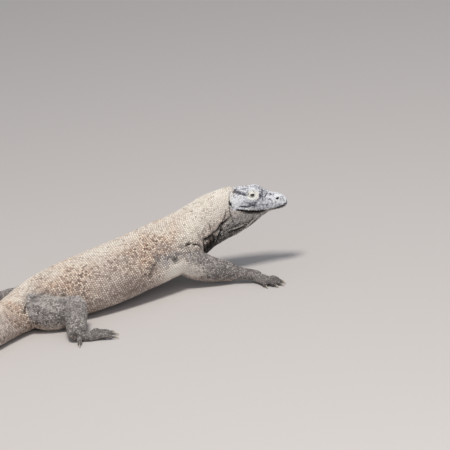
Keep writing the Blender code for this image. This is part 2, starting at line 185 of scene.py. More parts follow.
def mesh_from(name, points, faces):
    """A smooth mesh from corner places and an array of faces, one row each."""
    count, size = faces.shape
    mesh = bpy.data.meshes.new(name)
    mesh.vertices.add(len(points))
    mesh.vertices.foreach_set("co", np.asarray(points, np.float32).ravel())
    mesh.loops.add(count * size)
    mesh.loops.foreach_set("vertex_index", faces.ravel().astype(np.int32))
    mesh.polygons.add(count)
    mesh.polygons.foreach_set("loop_start", np.arange(count, dtype=np.int32) * size)
    mesh.polygons.foreach_set("use_smooth", np.ones(count, bool))
    mesh.update(calc_edges=True)
    mesh.validate()
    return mesh


def listed_mesh(name, points, faces):
    """A mesh from corner places and a list of faces with any number of sides."""
    mesh = bpy.data.meshes.new(name)
    mesh.from_pydata(np.asarray(points).tolist(), [], faces)
    return mesh


def modified(work, kind, **settings):
    """The mesh of an object after one modifier; the object itself is removed."""
    change = work.modifiers.new("change", kind)
    for key, value in settings.items():
        setattr(change, key, value)
    done = bpy.data.meshes.new_from_object(work.evaluated_get(bpy.context.evaluated_depsgraph_get()))
    bpy.data.objects.remove(work)
    return done


def set_values(mesh, name, values):
    """Keeps one number, or one vector, for each corner of the mesh under a name that materials read."""
    kind, key = ("FLOAT_VECTOR", "vector") if values.ndim == 2 else ("FLOAT", "value")
    field = mesh.attributes.new(name, kind, "POINT")
    field.data.foreach_set(key, np.asarray(values, np.float32).ravel())


def tree_of(places):
    """A tree that finds the places nearest to another."""
    tree = KDTree(len(places))
    for number, place in enumerate(places):
        tree.insert(place, number)
    tree.balance()
    return tree


# ------------------------------------------------------------------ the frame
def is_flesh(name):
    """Whether the skin covers that node."""
    return "claw" not in name and "eye" not in name


def box_centre(name):
    """The middle of a node's box."""
    low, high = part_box(name)
    return np.array((low + high) / 2)


def solid_arrays(node, growth=0.0):
    """A node's mesh as joined corners and faces, grown outwards."""
    work = bmesh.new()
    work.from_mesh(node.data)
    bmesh.ops.remove_doubles(work, verts=work.verts, dist=1e-5)
    work.normal_update()
    points = np.array([corner.co + corner.normal * growth for corner in work.verts])
    faces = [[corner.index for corner in face.verts] for face in work.faces]
    work.free()
    return points, faces


def joined(parts):
    """Many pairs of corners and faces as one pair."""
    faces = []
    total = 0
    for points, their_faces in parts:
        faces.extend([index + total for index in face] for face in their_faces)
        total += len(points)
    return np.concatenate([points for points, _ in parts]), faces


class Solids:
    """The solids of flesh and the eyeballs, to ask which one is nearest and how deep a point lies."""

    def __init__(self, nodes):
        self.names = [name for name in nodes if "claw" not in name]
        parts = [solid_arrays(nodes[name]) for name in self.names]
        points, faces = joined(parts)
        self.face_owner = np.repeat(np.arange(len(parts)), [len(part[1]) for part in parts])
        self.tree = BVHTree.FromPolygons(points.tolist(), faces)

    def ask(self, points):
        """For each point: which solid is nearest, and how far outside it the point is."""
        faces = np.zeros(len(points), int)
        outside = np.zeros(len(points))
        for number, point in enumerate(points):
            place = Vector(point)
            near, direction, faces[number], distance = self.tree.find_nearest(place)
            outside[number] = distance if (place - near).dot(direction) >= 0 else -distance
        return self.face_owner[faces], outside


# ------------------------------------------------------------------ the head's own places
# The closed mouth from its corner to the snout: metres ahead of the eyes, and above the head's line.
MOUTH = (
    (-0.056, -0.0070),
    (-0.022, -0.0140),
    (0.008, -0.0190),
    (0.026, -0.0195),
    (0.046, -0.0165),
    (0.071, -0.0125),
    (0.096, -0.0060),
    (0.117, 0.0035),
    (0.126, 0.0070),
)
MOUTH_CORNER = (-0.058, -0.046)  # where the mouth begins, ahead of the eyes
MOUTH_REAR = (0.015, 0.050)  # where its wider rear half ends
GROOVE_WIDTH = (0.0013, 0.0025)  # in front, and how much more in the rear half
GROOVE_DEPTH = (0.0020, 0.0020)
# Across the mouth: height above it, width, and how far the lip stands out.
UPPER_LIP = (0.0046, 0.0030, 0.0012)
LOWER_LIP = (-0.0052, 0.0026, 0.0006)
# The crease above the upper lip: height, rise for each metre ahead, width and depth, and its two ends.
CREASE = (0.0155, 0.10, 0.0016, 0.0012)
CREASE_ENDS = ((-0.048, -0.038), (0.012, 0.022))
# Pits on each side: place ahead, out and above, length and height, depth, rim, and slant.
NOSTRIL = ((0.0905, 0.0250, 0.0235), (0.0072, 0.0044), 0.0046, 0.0014, -0.4)
EAR = ((-0.0745, 0.0535, 0.0115), (0.0046, 0.0120), 0.0064, 0.0014, 0.30)
PIT_REACH = 0.012  # how far into the head and out of it a pit goes
# Soft ridges over the brow, along the cheek and down behind the jaw: places, width and height.
RIDGES = (
    (((0.024, 0.024, 0.0500), (0.010, 0.031, 0.0560), (-0.010, 0.034, 0.0550), (-0.028, 0.034, 0.0500)),
     0.0045, 0.0018),
    (((0.014, 0.040, 0.0220), (-0.020, 0.045, 0.0200), (-0.052, 0.050, 0.0200)), 0.0050, 0.0014),
    (((-0.046, 0.050, 0.0060), (-0.060, 0.052, -0.0060), (-0.066, 0.050, -0.0220)), 0.0060, 0.0016),
)
HEAD_BEGINS = (-0.13, -0.06)  # how far back and down the head's features may lie
LOOK_AHEAD, LOOK_UP = 0.20, 0.10  # how far the eyes turn ahead and up for each metre out


def above_mouth(ahead, above):
    """How far above the mouth places on the head lie."""
    return above - np.interp(ahead, *np.array(MOUTH).T)


def swell(heights, form):
    """A soft ridge across heights: form gives its place, its width and how far it stands out."""
    place, width, rise = form
    return rise * bell(heights - place, width)


class Head:
    """The head's directions from the middle of its eyes, and where the skin's corners lie in them."""

    def __init__(self):
        left_eye, right_eye = box_centre("left_eye"), box_centre("right_eye")
        self.middle = (left_eye + right_eye) / 2
        self.left_axis = unit(left_eye - right_eye)
        self.ahead_axis = unit(unit(np.cross(self.left_axis, UP)) - UP * LINE_SLOPE)
        self.up_axis = unit(np.cross(self.ahead_axis, self.left_axis))

    def places(self, points):
        """How far points lie ahead of the eyes, to the left, and above the head's line."""
        from_eyes = points - self.middle
        above = from_eyes @ self.up_axis + LINE_BELOW_EYE
        return from_eyes @ self.ahead_axis, from_eyes @ self.left_axis, above

    def measure(self, points):
        """Keeps where each corner of the skin lies."""
        self.ahead, left, self.above = self.places(points)
        self.out = np.abs(left)
        self.over_mouth = above_mouth(self.ahead, self.above)
        self.near = (self.ahead > HEAD_BEGINS[0]) & (self.above > HEAD_BEGINS[1])

    def spot(self, place, side):
        """A point from its place ahead, out and above the head's line."""
        ahead, out, above = place
        forward = self.middle + self.ahead_axis * ahead
        return forward + self.left_axis * out * side + self.up_axis * (above - LINE_BELOW_EYE)

    def eye_axes(self, side):
        """The directions of an eye: where it looks, ahead and up."""
        gaze = unit(self.left_axis * side + self.ahead_axis * LOOK_AHEAD + self.up_axis * LOOK_UP)
        ahead = unit(self.ahead_axis - gaze * (self.ahead_axis @ gaze))
        return gaze, ahead, np.cross(ahead, gaze) * side

    def mouth(self):
        """Moves for the closed mouth, a groove between two lips that opens a little to the rear, and the
        painted shade along the groove.
        """
        height = self.over_mouth
        along = ramp(self.ahead, *MOUTH_CORNER) * self.near
        rear = 1.0 - ramp(self.ahead, *MOUTH_REAR)
        width = GROOVE_WIDTH[0] + GROOVE_WIDTH[1] * rear
        groove = (GROOVE_DEPTH[0] + GROOVE_DEPTH[1] * rear) * bell(height, width)
        place, rise, thickness, depth = CREASE
        crease = depth * bell(height - place - rise * self.ahead, thickness)
        crease = crease * band(self.ahead, *CREASE_ENDS)
        move = along * (swell(height, UPPER_LIP) + swell(height, LOWER_LIP) - crease - groove)
        # the second value is painted shade along the mouth's groove
        return move, along * np.clip(1.4 * bell(height + 0.0004, width * 1.1), 0, 1)

    def pit(self, points, place, sizes, depth, rim, slant):
        """Moves for an oval pit with a raised rim, on both sides, and the painted shade in it."""
        move, shade = np.zeros((2, len(points)))
        for side in SIDES.values():
            out = points - self.spot(place, side)
            along = (out @ self.ahead_axis + slant * (out @ self.up_axis)) / sizes[0]
            over = out @ self.up_axis / sizes[1]
            across = out @ self.left_axis / PIT_REACH
            reach = np.sqrt(along**2 + over**2 + across**2)
            move += rim * bell(reach - 1.35, 0.35) - depth * (1.0 - ramp(reach, 0.35, 1.1))
            # painted shade inside the pit
            shade = np.maximum(shade, 1.0 - ramp(reach, 0.6, 1.15))
        return move, shade

    def ridge(self, points, line, width, height):
        """Moves for a soft ridge along a line of places, on both sides."""
        move = np.zeros(len(points))
        for side in SIDES.values():
            spots = np.array([self.spot(place, side) for place in line])
            apart, share = distances_to_line(points, spots)
            move += height * bell(apart, width) * np.sin(np.pi * np.clip(share, 0.08, 0.92))
        return move


# ------------------------------------------------------------------ the skin
DETAILED = ("hand", "foot", "head", "jaw", "eye")
FACE = ("head", "jaw", "eye")
SMOOTHING_ROUNDS = 24
SMOOTHING_STEP = 0.6  # how far each round moves plain skin towards its neighbours' mean
DETAIL_HOLD = 0.75  # how much less far it moves details
# How near the eyes, and how near the mouth, the skin's faces are halved, and then halved again.
FINER = ((0.0190, 0.0060), (0.0160, 0.0))


def grown_by(name):
    """How far a solid grows before it is joined; the eyeballs, which only hold the lids out, don't."""
    if not is_flesh(name):
        return 0.0
    return TOE_GAP_CLOSING if "hand" in name or "foot" in name else GAP_CLOSING


def refine(mesh, chosen):
    """Splits the faces whose corners are all chosen, so that they carry finer forms."""
    work = bmesh.new()
    work.from_mesh(mesh)
    work.verts.ensure_lookup_table()
    faces = [face for face in work.faces if all(chosen[corner.index] for corner in face.verts)]
    edges = list({edge for face in faces for edge in face.edges})
    bmesh.ops.subdivide_edges(work, edges=edges, cuts=1, use_grid_fill=True)
    bmesh.ops.triangulate(work, faces=[face for face in work.faces if len(face.verts) > 4])
    work.to_mesh(mesh)
    work.free()
    return mesh


def thinned(mesh, weights):
    """The mesh with fewer faces where the weights, in tenths, are high."""
    work = new_object("flesh", mesh)
    group = work.vertex_groups.new(name="plain")
    for level in range(1, 11):
        members = np.flatnonzero(np.round(weights, 1) == level / 10)
        if len(members):
            group.add(members.tolist(), level / 10, "REPLACE")
    return modified(work, "DECIMATE", ratio=PLAIN_FACES, vertex_group="plain")


class Skin:
    """A mesh over the solids, and which solid is nearest to each of its corners."""

    def __init__(self, mesh, solids):
        self.mesh, self.solids = mesh, solids
        self.points, edges, self.triangles = mesh_arrays(mesh)
        self.web = Web(edges, len(self.points))
        self.owner, _ = solids.ask(self.points)

    def over(self, words):
        """Whether each corner's nearest solid has one of those words in its name."""
        wanted = [any(word in name for word in words) for name in self.solids.names]
        return np.array(wanted)[self.owner]

    def mask(self, words, rounds):
        """The same as a soft mask, from 0 to 1."""
        return self.web.smooth(self.over(words).astype(float), rounds)

    def fit(self, rounds):
        """Moves the skin to lie inside the solids by the coat's depth, with their facets gone."""
        _, outside = self.solids.ask(self.points)
        push = self.web.smooth(-(outside + COAT_DEPTH), rounds)
        self.move_to(self.points + corner_normals(self.points, self.triangles) * push[:, None])

    def move_to(self, points):
        """Sets the corners to those points."""
        self.points = points
        self.mesh.vertices.foreach_set("co", points.astype(np.float32).ravel())


def base_skin(nodes, solids):
    """The smooth closed skin, before its folds."""
    parts = [solid_arrays(node, grown_by(name)) for name, node in nodes.items() if "claw" not in name]
    flesh = new_object("flesh", listed_mesh("flesh", *joined(parts)))
    skin = Skin(modified(flesh, "REMESH", mode="VOXEL", voxel_size=VOXEL), solids)
    share = SMOOTHING_STEP * (1.0 - DETAIL_HOLD * skin.mask(DETAILED, 4))[:, None]
    skin.points = skin.web.smooth(skin.points, SMOOTHING_ROUNDS, share)
    skin.fit(14)
    detailed = skin.mask(DETAILED + ("throat", "neck"), 10)
    return thinned(skin.mesh, np.clip(1.0 - 1.5 * detailed, 0, 1))


def refined_skin(mesh, solids, head):
    """The skin with smaller faces on the head, and the smallest round the eyes and mouth."""
    mesh = refine(mesh, Skin(mesh, solids).over(FACE))
    for from_eye, from_mouth in FINER:
        points, _, _ = mesh_arrays(mesh)
        ahead, _, above = head.places(points)
        chosen = (np.abs(above_mouth(ahead, above)) < from_mouth) & (ahead > MOUTH_CORNER[0])
        for side in SIDES:
            chosen |= np.linalg.norm(points - box_centre(f"{side}_eye"), axis=1) < from_eye
        mesh = refine(mesh, chosen)
    skin = Skin(mesh, solids)
    skin.points = skin.web.smooth(skin.points, 5, 0.5 * skin.over(FACE)[:, None])
    skin.fit(8)
    return mesh


# ------------------------------------------------------------------ distances over the skin
def corner_uses(triangles, count):
    """For each corner, the triangles that it is in, as one list with the places where each begins."""
    order = np.argsort(triangles.ravel(), kind="stable")
    begins = np.searchsorted(triangles.ravel()[order], np.arange(count + 1))
    return (order // 3).tolist(), begins.tolist()


def crossing_time(early, late, a, b, c, slow):
    """When a wave that crosses a triangle reaches its third corner, or infinity if it can't that way.

    a is the side from the later corner, b the side from the earlier one, and c the side between them.
    """
    lag = late - early
    cosine = (a * a + b * b - c * c) / (2.0 * a * b)
    middle = 2.0 * b * lag * (a * cosine - b)
    rest = b * b * (lag * lag - slow * slow * a * a * (1.0 - cosine * cosine))
    inside = middle * middle - 4.0 * c * c * rest
    if inside < 0.0 or c <= 0.0:
        return math.inf
    wait = (-middle + math.sqrt(inside)) / (2.0 * c * c)
    if wait <= lag or wait <= 0.0:
        return math.inf
    reach = b * (wait - lag) / wait
    if reach <= a * cosine or (cosine > 0.0 and reach >= a / cosine):
        return math.inf
    return early + wait


def travel_times(points, triangles, start, slowness):
    """When a wave from the starting corner reaches each corner of the skin, going over its surface."""
    uses, begins = corner_uses(triangles, len(points))
    opposite = [points[triangles[:, (k + 1) % 3]] - points[triangles[:, (k + 2) % 3]] for k in range(3)]
    lengths = np.stack([np.linalg.norm(side, axis=1) for side in opposite], 1).tolist()
    corners = triangles.tolist()
    slow = slowness.tolist()
    times = [math.inf] * len(points)
    done = [False] * len(points)
    times[start] = 0.0
    queue = [(0.0, start)]
    while queue:
        now, here = heapq.heappop(queue)
        if done[here]:
            continue
        done[here] = True
        for triangle in uses[begins[here] : begins[here + 1]]:
            three, sides = corners[triangle], lengths[triangle]
            k = three.index(here)
            for third_at, other_at in (((k + 1) % 3, (k + 2) % 3), ((k + 2) % 3, (k + 1) % 3)):
                third, other = three[third_at], three[other_at]
                if done[third]:
                    continue
                best = now + slow[third] * sides[other_at]
                if done[other]:
                    crossing = crossing_time(
                        times[other], now, sides[other_at], sides[k], sides[third_at], slow[third]
                    )
                    best = min(best, crossing)
                if best < times[third]:
                    times[third] = best
                    heapq.heappush(queue, (best, third))
    return np.array(times)


SPINE_STEP = 0.01  # from each point of the line through the body's middle to the next
LEGS = ("arm", "hand", "thigh", "shank", "foot")
PAWS = ("hand", "foot")
REGIONS = {"limb": (LEGS, 10), "paw": (PAWS, 8), "head": (FACE, 14), "throat": (("throat",), 14)}


class BodyMap(Skin):
    """Where each corner of the skin lies on the animal: how far back, and how far round from the back."""

    def __init__(self, mesh, solids, head):
        super().__init__(mesh, solids)
        self.normals = corner_normals(self.points, self.triangles)
        on_head = self.over(("head",))
        snout = np.flatnonzero(on_head)[(self.points @ head.ahead_axis)[on_head].argmax()]
        self.station = travel_times(self.points, self.triangles, snout, np.ones(len(self.points)))
        self.find_round()
        self.regions = {name: self.mask(*region) for name, region in REGIONS.items()}

    def find_round(self):
        """Finds each corner's degrees round from the back, about a line through the body's middle."""
        on_body = self.over(("head", "jaw", "throat", "neck", "trunk", "tail"))
        slot = (self.station / SPINE_STEP).astype(int)
        last = slot[on_body].max()
        spine = np.array([self.points[on_body & (slot == n)].mean(0) for n in range(last + 1)])
        for _ in range(6):
            spine[1:-1] = (spine[:-2] + 2.0 * spine[1:-1] + spine[2:]) / 4.0
        lefts = unit(np.cross(UP, -np.gradient(spine, axis=0)))
        at = np.clip(self.station / SPINE_STEP - 0.5, 0, last)
        rows = np.arange(last + 1)
        out = self.points - between(at, rows, spine)
        self.round = np.degrees(np.arctan2((out * between(at, rows, lefts)).sum(1), out[:, 2]))
        self.turn = np.abs(self.round)

    def near_joints(self):
        """How near each corner is to an elbow, wrist, knee or ankle."""
        upper, lower, paws = (
            self.mask(words, 16) for words in (("upper_arm", "thigh"), ("forearm", "shank"), PAWS)
        )
        return np.clip(4.0 * lower * np.maximum(upper, paws), 0, 1)


# ------------------------------------------------------------------ folds and wrinkles
# Each fold runs through places given by their distance back from the snout and degrees round from the
# back. Then its width, its depth, the ridge beside it, and how much painted shade fills its groove (below
# 0 for a pale crest).
FOLDS = (
    # the neck and throat
    (((0.217, 119), (0.233, 120), (0.243, 117), (0.254, 112), (0.259, 116), (0.276, 119), (0.290, 115)),
     0.0058, 0.0074, 0.0030, 1.0),
    (((0.286, 116), (0.303, 116), (0.314, 113), (0.330, 108), (0.339, 102)), 0.0066, 0.0072, 0.0028, 1.0),
    (((0.336, 103), (0.345, 112), (0.349, 126), (0.346, 142)), 0.0050, 0.0050, 0.0014, 1.0),
    (((0.252, 112), (0.259, 126), (0.265, 132), (0.278, 140), (0.287, 147), (0.298, 156)),
     0.0054, 0.0074, 0.0028, 1.0),
    (((0.290, 116), (0.298, 128), (0.302, 141), (0.309, 153)), 0.0042, 0.0060, 0.0022, 1.0),
    (((0.312, 114), (0.315, 128), (0.319, 141), (0.326, 150)), 0.0040, 0.0056, 0.0018, 1.0),
    (((0.330, 108), (0.333, 122), (0.335, 134), (0.338, 146)), 0.0040, 0.0056, 0.0018, 1.0),
    (((0.264, 141), (0.268, 148), (0.274, 158)), 0.0030, 0.0046, 0.0018, 0.9),
    (((0.250, 136), (0.256, 148), (0.262, 162)), 0.0026, 0.0036, 0.0018, 0.7),
    (((0.224, 28), (0.221, 44), (0.219, 58), (0.218, 76), (0.217, 96), (0.215, 114), (0.210, 140),
      (0.206, 149)), 0.0024, 0.0026, 0.0016, 0.65),
    (((0.229, 82), (0.234, 100), (0.243, 108), (0.252, 112)), 0.0026, 0.0036, 0.0022, 0.8),
    (((0.246, 139), (0.232, 147), (0.214, 151), (0.196, 150), (0.182, 146)), 0.0028, 0.0030, 0.0020, 0.85),
    (((0.240, 152), (0.225, 158), (0.208, 162), (0.185, 164), (0.157, 162), (0.136, 157)),
     0.0050, 0.0040, 0.0016, 0.9),
    (((0.118, 150), (0.145, 163), (0.181, 171), (0.202, 173), (0.240, 172)), 0.0026, -0.0012, 0.0, -1.0),
    (((0.225, 152), (0.205, 156), (0.185, 158), (0.165, 156)), 0.0022, -0.0008, 0.0, -0.7),
    (((0.291, 81), (0.296, 92), (0.299, 102)), 0.0024, 0.0018, 0.0008, 0.85),
    (((0.262, 94), (0.282, 98), (0.302, 99)), 0.0022, 0.0012, 0.0006, 0.25),
    (((0.329, 84), (0.332, 92), (0.328, 98)), 0.0022, 0.0014, 0.0006, 0.4),
    # the shoulder
    (((0.442, 67), (0.436, 71), (0.426, 78), (0.408, 81), (0.388, 84), (0.376, 93), (0.366, 104),
      (0.360, 113)), 0.0036, 0.0056, 0.0022, 1.0),
    (((0.482, 89), (0.477, 95), (0.468, 100)), 0.0080, 0.0070, 0.0006, 0.55),
    (((0.604, 95), (0.580, 90), (0.556, 84), (0.533, 77)), 0.0100, 0.0020, 0.0006, 0.56),
    # the hip
    (((1.034, 58), (1.056, 72), (1.074, 92), (1.076, 112)), 0.0046, 0.0060, 0.0020, 0.75),
    (((0.930, 70), (0.965, 66), (1.000, 62), (1.030, 62)), 0.0045, 0.0030, 0.0012, 0.45),
    (((0.900, 78), (0.880, 96), (0.885, 112)), 0.0060, 0.0035, 0.0015, 0.5),
)
LINE_POINTS = 14  # the points of the line along each fold


def fine_line(body, places, side):
    """A smooth line over the skin through (distance back, degrees round) places, on one side."""
    at = np.linspace(0, len(places) - 1, LINE_POINTS)
    line = []
    for station, angle in between(at, np.arange(len(places)), np.array(places)):
        miss = ((body.station - station) / 0.004) ** 2 + ((body.round - angle * side) / 3.0) ** 2
        line.append(body.points[miss.argmin()])
    line = np.array(line)
    for _ in range(2):
        line[1:-1] = (line[:-2] + 2 * line[1:-1] + line[2:]) / 4
    return line


def fold_depths(body):
    """How far out each corner moves for the folds on both sides, the painted shade in their grooves and
    how pale.
    """
    move, shade, pale = np.zeros((3, len(body.points)))
    for places, width, depth, ridge, darkness in FOLDS:
        for side in SIDES.values():
            apart, share = distances_to_line(body.points, fine_line(body, places, side))
            ends = np.sqrt(np.sin(np.pi * np.clip(share, 0.04, 0.96)))
            groove = bell(apart, width) * ends
            move += ridge * bell(apart - 2.1 * width, width) * ends - depth * groove
            mark = np.clip(1.3 * bell(apart, 0.90 * width) * ends, 0, 1)
            # painted shade along the fold's groove
            shade = np.maximum(shade, darkness * mark)
            pale = np.maximum(pale, -darkness * mark)
    return move, shade, pale


def noise_at(places, seed):
    """Smooth noise, about -1 to 1, at each place."""
    shift = Vector((seed * 13.1, seed * 7.7, seed * 3.3))
    return np.array([noise.noise(Vector(place) + shift) for place in places])


def wrinkles(body):
    """Fine wrinkles across the legs, looser ones on neck and flanks: moves, and the painted shade in the
    legs' creases.

    The noise is drawn out along each wrinkle by the factors that turn metres and degrees into its places.
    """
    limbs = body.mask(LEGS, 8)
    loose = body.mask(("neck", "throat"), 12)
    flank = body.mask(("trunk", "tail"), 12)
    joints = body.near_joints()
    station, level = body.station, np.zeros(len(body.points))
    across = np.stack([station * 120.0, body.points[:, 1] * 16.0, body.points[:, 2] * 16.0], 1)
    rings = np.stack([station * 75.0, body.round * 0.045, level], 1)
    broad = np.stack([station * 34.0, body.round * 0.030, level], 1)
    creases = noise_at(across, 4)
    # painted shade in the creases of the legs' wrinkles
    wrinkle_shade = ramp(-creases, 0.12, 0.45) * limbs
    move = creases * (0.0005 + 0.0010 * joints) * limbs - 0.0012 * wrinkle_shade * joints
    move += noise_at(rings, 1) * (0.0008 * loose + 0.0003 * flank)
    move += noise_at(broad, 2) * (0.0012 * loose + 0.0010 * flank)
    move += noise_at(body.points * 42.0, 3) * 0.0010 * limbs
    return move, wrinkle_shade


EYE_OPENING = np.radians((39.0, 29.0))  # half the width and half the height of the open eye
POINTEDNESS = 1.7  # of the opening's two ends: 2 would be an oval
LID_RADIUS = 0.0111  # of the lids over the eyeball
ROUND_THE_EYE = 0.0175  # how far from the eye's middle the skin is drawn over it
SNAP = 0.055  # corners of the skin as near as this to the opening, in radians, come to lie on it
LID_ENDS = (1.15, 1.65)  # how far from the gaze, in radians, the lids run out into the face
LID_RIM = (0.03, 0.10)  # how far from the opening, in radians, their rims carry painted shade
BEHIND_LIDS = 0.0082  # the radius of the skin hidden in the eyeball


def close_lids(points, head):
    """Draws the skin over each eyeball as lids round an open slit, and gives the painted shade along their
    rims.
    """
    points = points.copy()
    rim_shade = np.zeros(len(points))
    wide, high = EYE_OPENING
    for name, side in SIDES.items():
        centre = box_centre(f"{name}_eye")
        gaze, ahead, up = head.eye_axes(side)
        out = points - centre
        reach = np.linalg.norm(out, axis=1)
        close = reach < ROUND_THE_EYE
        direction = out / np.maximum(reach, 1e-9)[:, None]
        turn = np.arccos(np.clip(direction @ gaze, -1, 1))
        x, y = direction @ ahead, direction @ up
        flat = np.maximum(np.hypot(x, y), 1e-9)
        x, y = x / flat, y / flat
        opening = np.abs(x / wide) ** POINTEDNESS + np.abs(y / high) ** POINTEDNESS
        opening = opening ** (-1 / POINTEDNESS)
        turned = np.where(close & (np.abs(turn - opening) < SNAP), opening, turn)
        sideways = ahead * x[:, None] + up * y[:, None]
        direction = gaze * np.cos(turned)[:, None] + sideways * np.sin(turned)[:, None]
        beyond = turned - opening
        lid = LID_RADIUS + 0.0005 * bell(beyond - 0.10, 0.09) - 0.0007 * bell(beyond, 0.035)
        over = 1.0 - ramp(turn, *LID_ENDS)
        radius = reach + (np.maximum(lid, reach - 0.004) - reach) * over
        radius = np.where(beyond < -1e-6, BEHIND_LIDS, radius)
        points[close] = (centre + direction * radius[:, None])[close]
        # painted shade along the lid rims
        rim_shade = np.maximum(rim_shade, np.where(close, 1.0 - ramp(beyond, *LID_RIM), 0))
    return points, rim_shade


def sculpt(body, head, cad_box):
    """Gives the skin its folds, mouth, nostrils, ears and lids, and keeps its masks for the materials."""
    head.measure(body.points)
    move, wrinkle_shade = wrinkles(body)
    depths, shade, pale = fold_depths(body)
    mouth, mouth_shade = head.mouth()
    nostril, nostril_shade = head.pit(body.points, *NOSTRIL)
    ear, ear_shade = head.pit(body.points, *EAR)
    move += depths
    move += mouth + nostril + ear
    for ridge in RIDGES:
        move += head.ridge(body.points, *ridge)
    points, rim_shade = close_lids(body.points + body.normals * move[:, None], head)
    low, high = np.array(cad_box)
    body.move_to(np.clip(points, low + (COAT_DEPTH, COAT_DEPTH, FLOOR_CLEARANCE), high - COAT_DEPTH))
    body.normals = corner_normals(body.points, body.triangles)
    # painted shade in the mouth groove, nostrils, ears and along the lid rims
    openings = np.maximum.reduce([mouth_shade, nostril_shade, ear_shade, rim_shade])
    body.bare = np.maximum(openings, ramp(shade, 0.60, 0.70))
    body.fields = colour_masks(body, head, np.maximum(shade, openings), pale, wrinkle_shade)


# ------------------------------------------------------------------ where the colours lie
# Dark (below 0) and pale marks on the side of the head, some dark ones painted shade: their lines as
# metres ahead of the eyes and above the head's line, then how wide and how strong each is.
HEAD_MARKS = (
    (((-0.062, 0.050), (-0.048, 0.047), (-0.034, 0.045), (-0.016, 0.042)), 0.0044, -1.15),
    (((-0.063, 0.060), (-0.060, 0.052), (-0.062, 0.040)), 0.0050, -0.40),
    (((-0.046, 0.064), (-0.030, 0.060), (-0.016, 0.056)), 0.0030, -0.30),
    (((-0.004, 0.066), (0.010, 0.064), (0.022, 0.066)), 0.0026, -0.45),
    (((0.027, 0.042), (0.028, 0.030), (0.018, 0.021)), 0.0030, -1.10),
    (((0.030, 0.062), (0.038, 0.052), (0.036, 0.042)), 0.0028, -0.65),
    # painted shade in the crease below the cheek, over the upper lip (this line and the next)
    (((-0.042, 0.0035), (-0.026, 0.0020), (-0.010, 0.0005)), 0.0024, -1.40),
    (((-0.012, 0.0050), (0.004, 0.0035), (0.016, 0.0010)), 0.0042, -1.10),
    (((-0.024, 0.0180), (-0.010, 0.0130), (0.006, 0.0110), (0.016, 0.0120)), 0.0034, -0.60),
    (((-0.052, -0.0035), (-0.020, -0.0075), (0.020, -0.0110)), 0.0030, 0.45),
    # painted shadow under the upper lip, over the lower jaw (this line and the next)
    (((-0.036, -0.0130), (-0.012, -0.0180), (0.016, -0.0215), (0.046, -0.0200)), 0.0060, -1.55),
    (((0.066, -0.0160), (0.090, -0.0110), (0.110, -0.0060), (0.122, 0.0000)), 0.0040, -0.90),
    (((0.080, 0.033), (0.090, 0.034), (0.100, 0.030)), 0.0028, 0.70),
    (((0.080, 0.017), (0.090, 0.014), (0.100, 0.017)), 0.0026, 0.70),
    (((0.072, 0.014), (0.064, 0.024), (0.056, 0.020)), 0.0024, -0.65),
    (((0.076, 0.034), (0.066, 0.036), (0.060, 0.030)), 0.0022, -0.60),
    (((0.050, 0.040), (0.044, 0.030), (0.050, 0.022)), 0.0022, -0.65),
    (((0.036, 0.032), (0.040, 0.022), (0.034, 0.012)), 0.0022, -0.45),
    (((0.106, 0.028), (0.112, 0.018), (0.114, 0.008)), 0.0022, -0.65),
    (((0.112, 0.024), (0.119, 0.015)), 0.0024, 0.60),
    (((0.056, 0.034), (0.068, 0.028)), 0.0034, 0.50),
    (((0.058, 0.012), (0.066, 0.008), (0.078, 0.008)), 0.0026, -0.60),
    (((0.040, 0.050), (0.050, 0.046), (0.058, 0.044)), 0.0024, -0.50),
    (((0.084, 0.042), (0.094, 0.038), (0.104, 0.032)), 0.0024, -0.55),
    (((0.030, 0.006), (0.050, 0.003), (0.068, 0.000)), 0.0022, -0.40),
    (((-0.066, 0.030), (-0.058, 0.014), (-0.048, 0.006)), 0.0080, 0.22),
    (((-0.012, 0.058), (0.004, 0.060), (0.018, 0.058)), 0.0030, 0.35),
    (((0.038, 0.044), (0.058, 0.038), (0.080, 0.041), (0.104, 0.036)), 0.0055, -0.30),
    (((0.030, 0.054), (0.036, 0.038), (0.034, 0.020)), 0.0060, -0.28),
    (((0.118, 0.026), (0.124, 0.014), (0.120, 0.004)), 0.0030, -0.50),
)
# Below, stations are metres back from the snout over the skin, and turns are degrees round from the back.
# Soft oval patches: their station, half their length, their turn, half their width, and their strength.
RUST_PATCHES = ((0.560, 0.095, 54, 34, 1.0), (0.850, 0.100, 50, 42, 0.9), (0.450, 0.060, 34, 22, 0.7))
ARMPIT = (0.498, 0.048, 112, 16, 1.0)
# painted shade low on the flank behind the armpit, in the same columns
FLANK_SHADE = (0.665, 0.055, 98, 14, 0.38)
TAIL_BANDS = (1.08, 0.19)  # the station of the first, and how far it is to the next
EYE_RING = ((0.0050, 0.0240), (0.0394, 0.0152))  # its middle and half its size, ahead and above


def head_marks(body, head):
    """How much darker or paler each corner of the head is for its marks."""
    places = np.stack([head.ahead, head.above], 1) + 0.0012 * body.wander[:, None]
    total = np.zeros(len(places))
    for line, width, strength in HEAD_MARKS:
        apart, share = distances_to_line(places, np.array(line))
        total += strength * bell(apart, width) * (0.45 + 0.55 * np.sin(np.pi * share))
    return total * head.near * ramp(head.out, 0.006, 0.012)


def patch(body, middle, length, turn, width, strength):
    """A soft oval patch on each side."""
    return strength * bell(body.station - middle, length) * bell(body.turn - turn, width)


def mottled_mask(body):
    """Cream patches over the upper arms and below on the thighs."""
    arm = ramp(body.cloud + 0.5 * body.wander, 0.0, 0.4) * (1.0 - ramp(body.station, 0.440, 0.480))
    thigh = ramp(body.turn + 8.0 * body.cloud, 104, 120)
    return np.maximum(0.4 * body.mask(("upper_arm",), 10) * arm, 0.8 * body.mask(("thigh",), 10) * thigh)


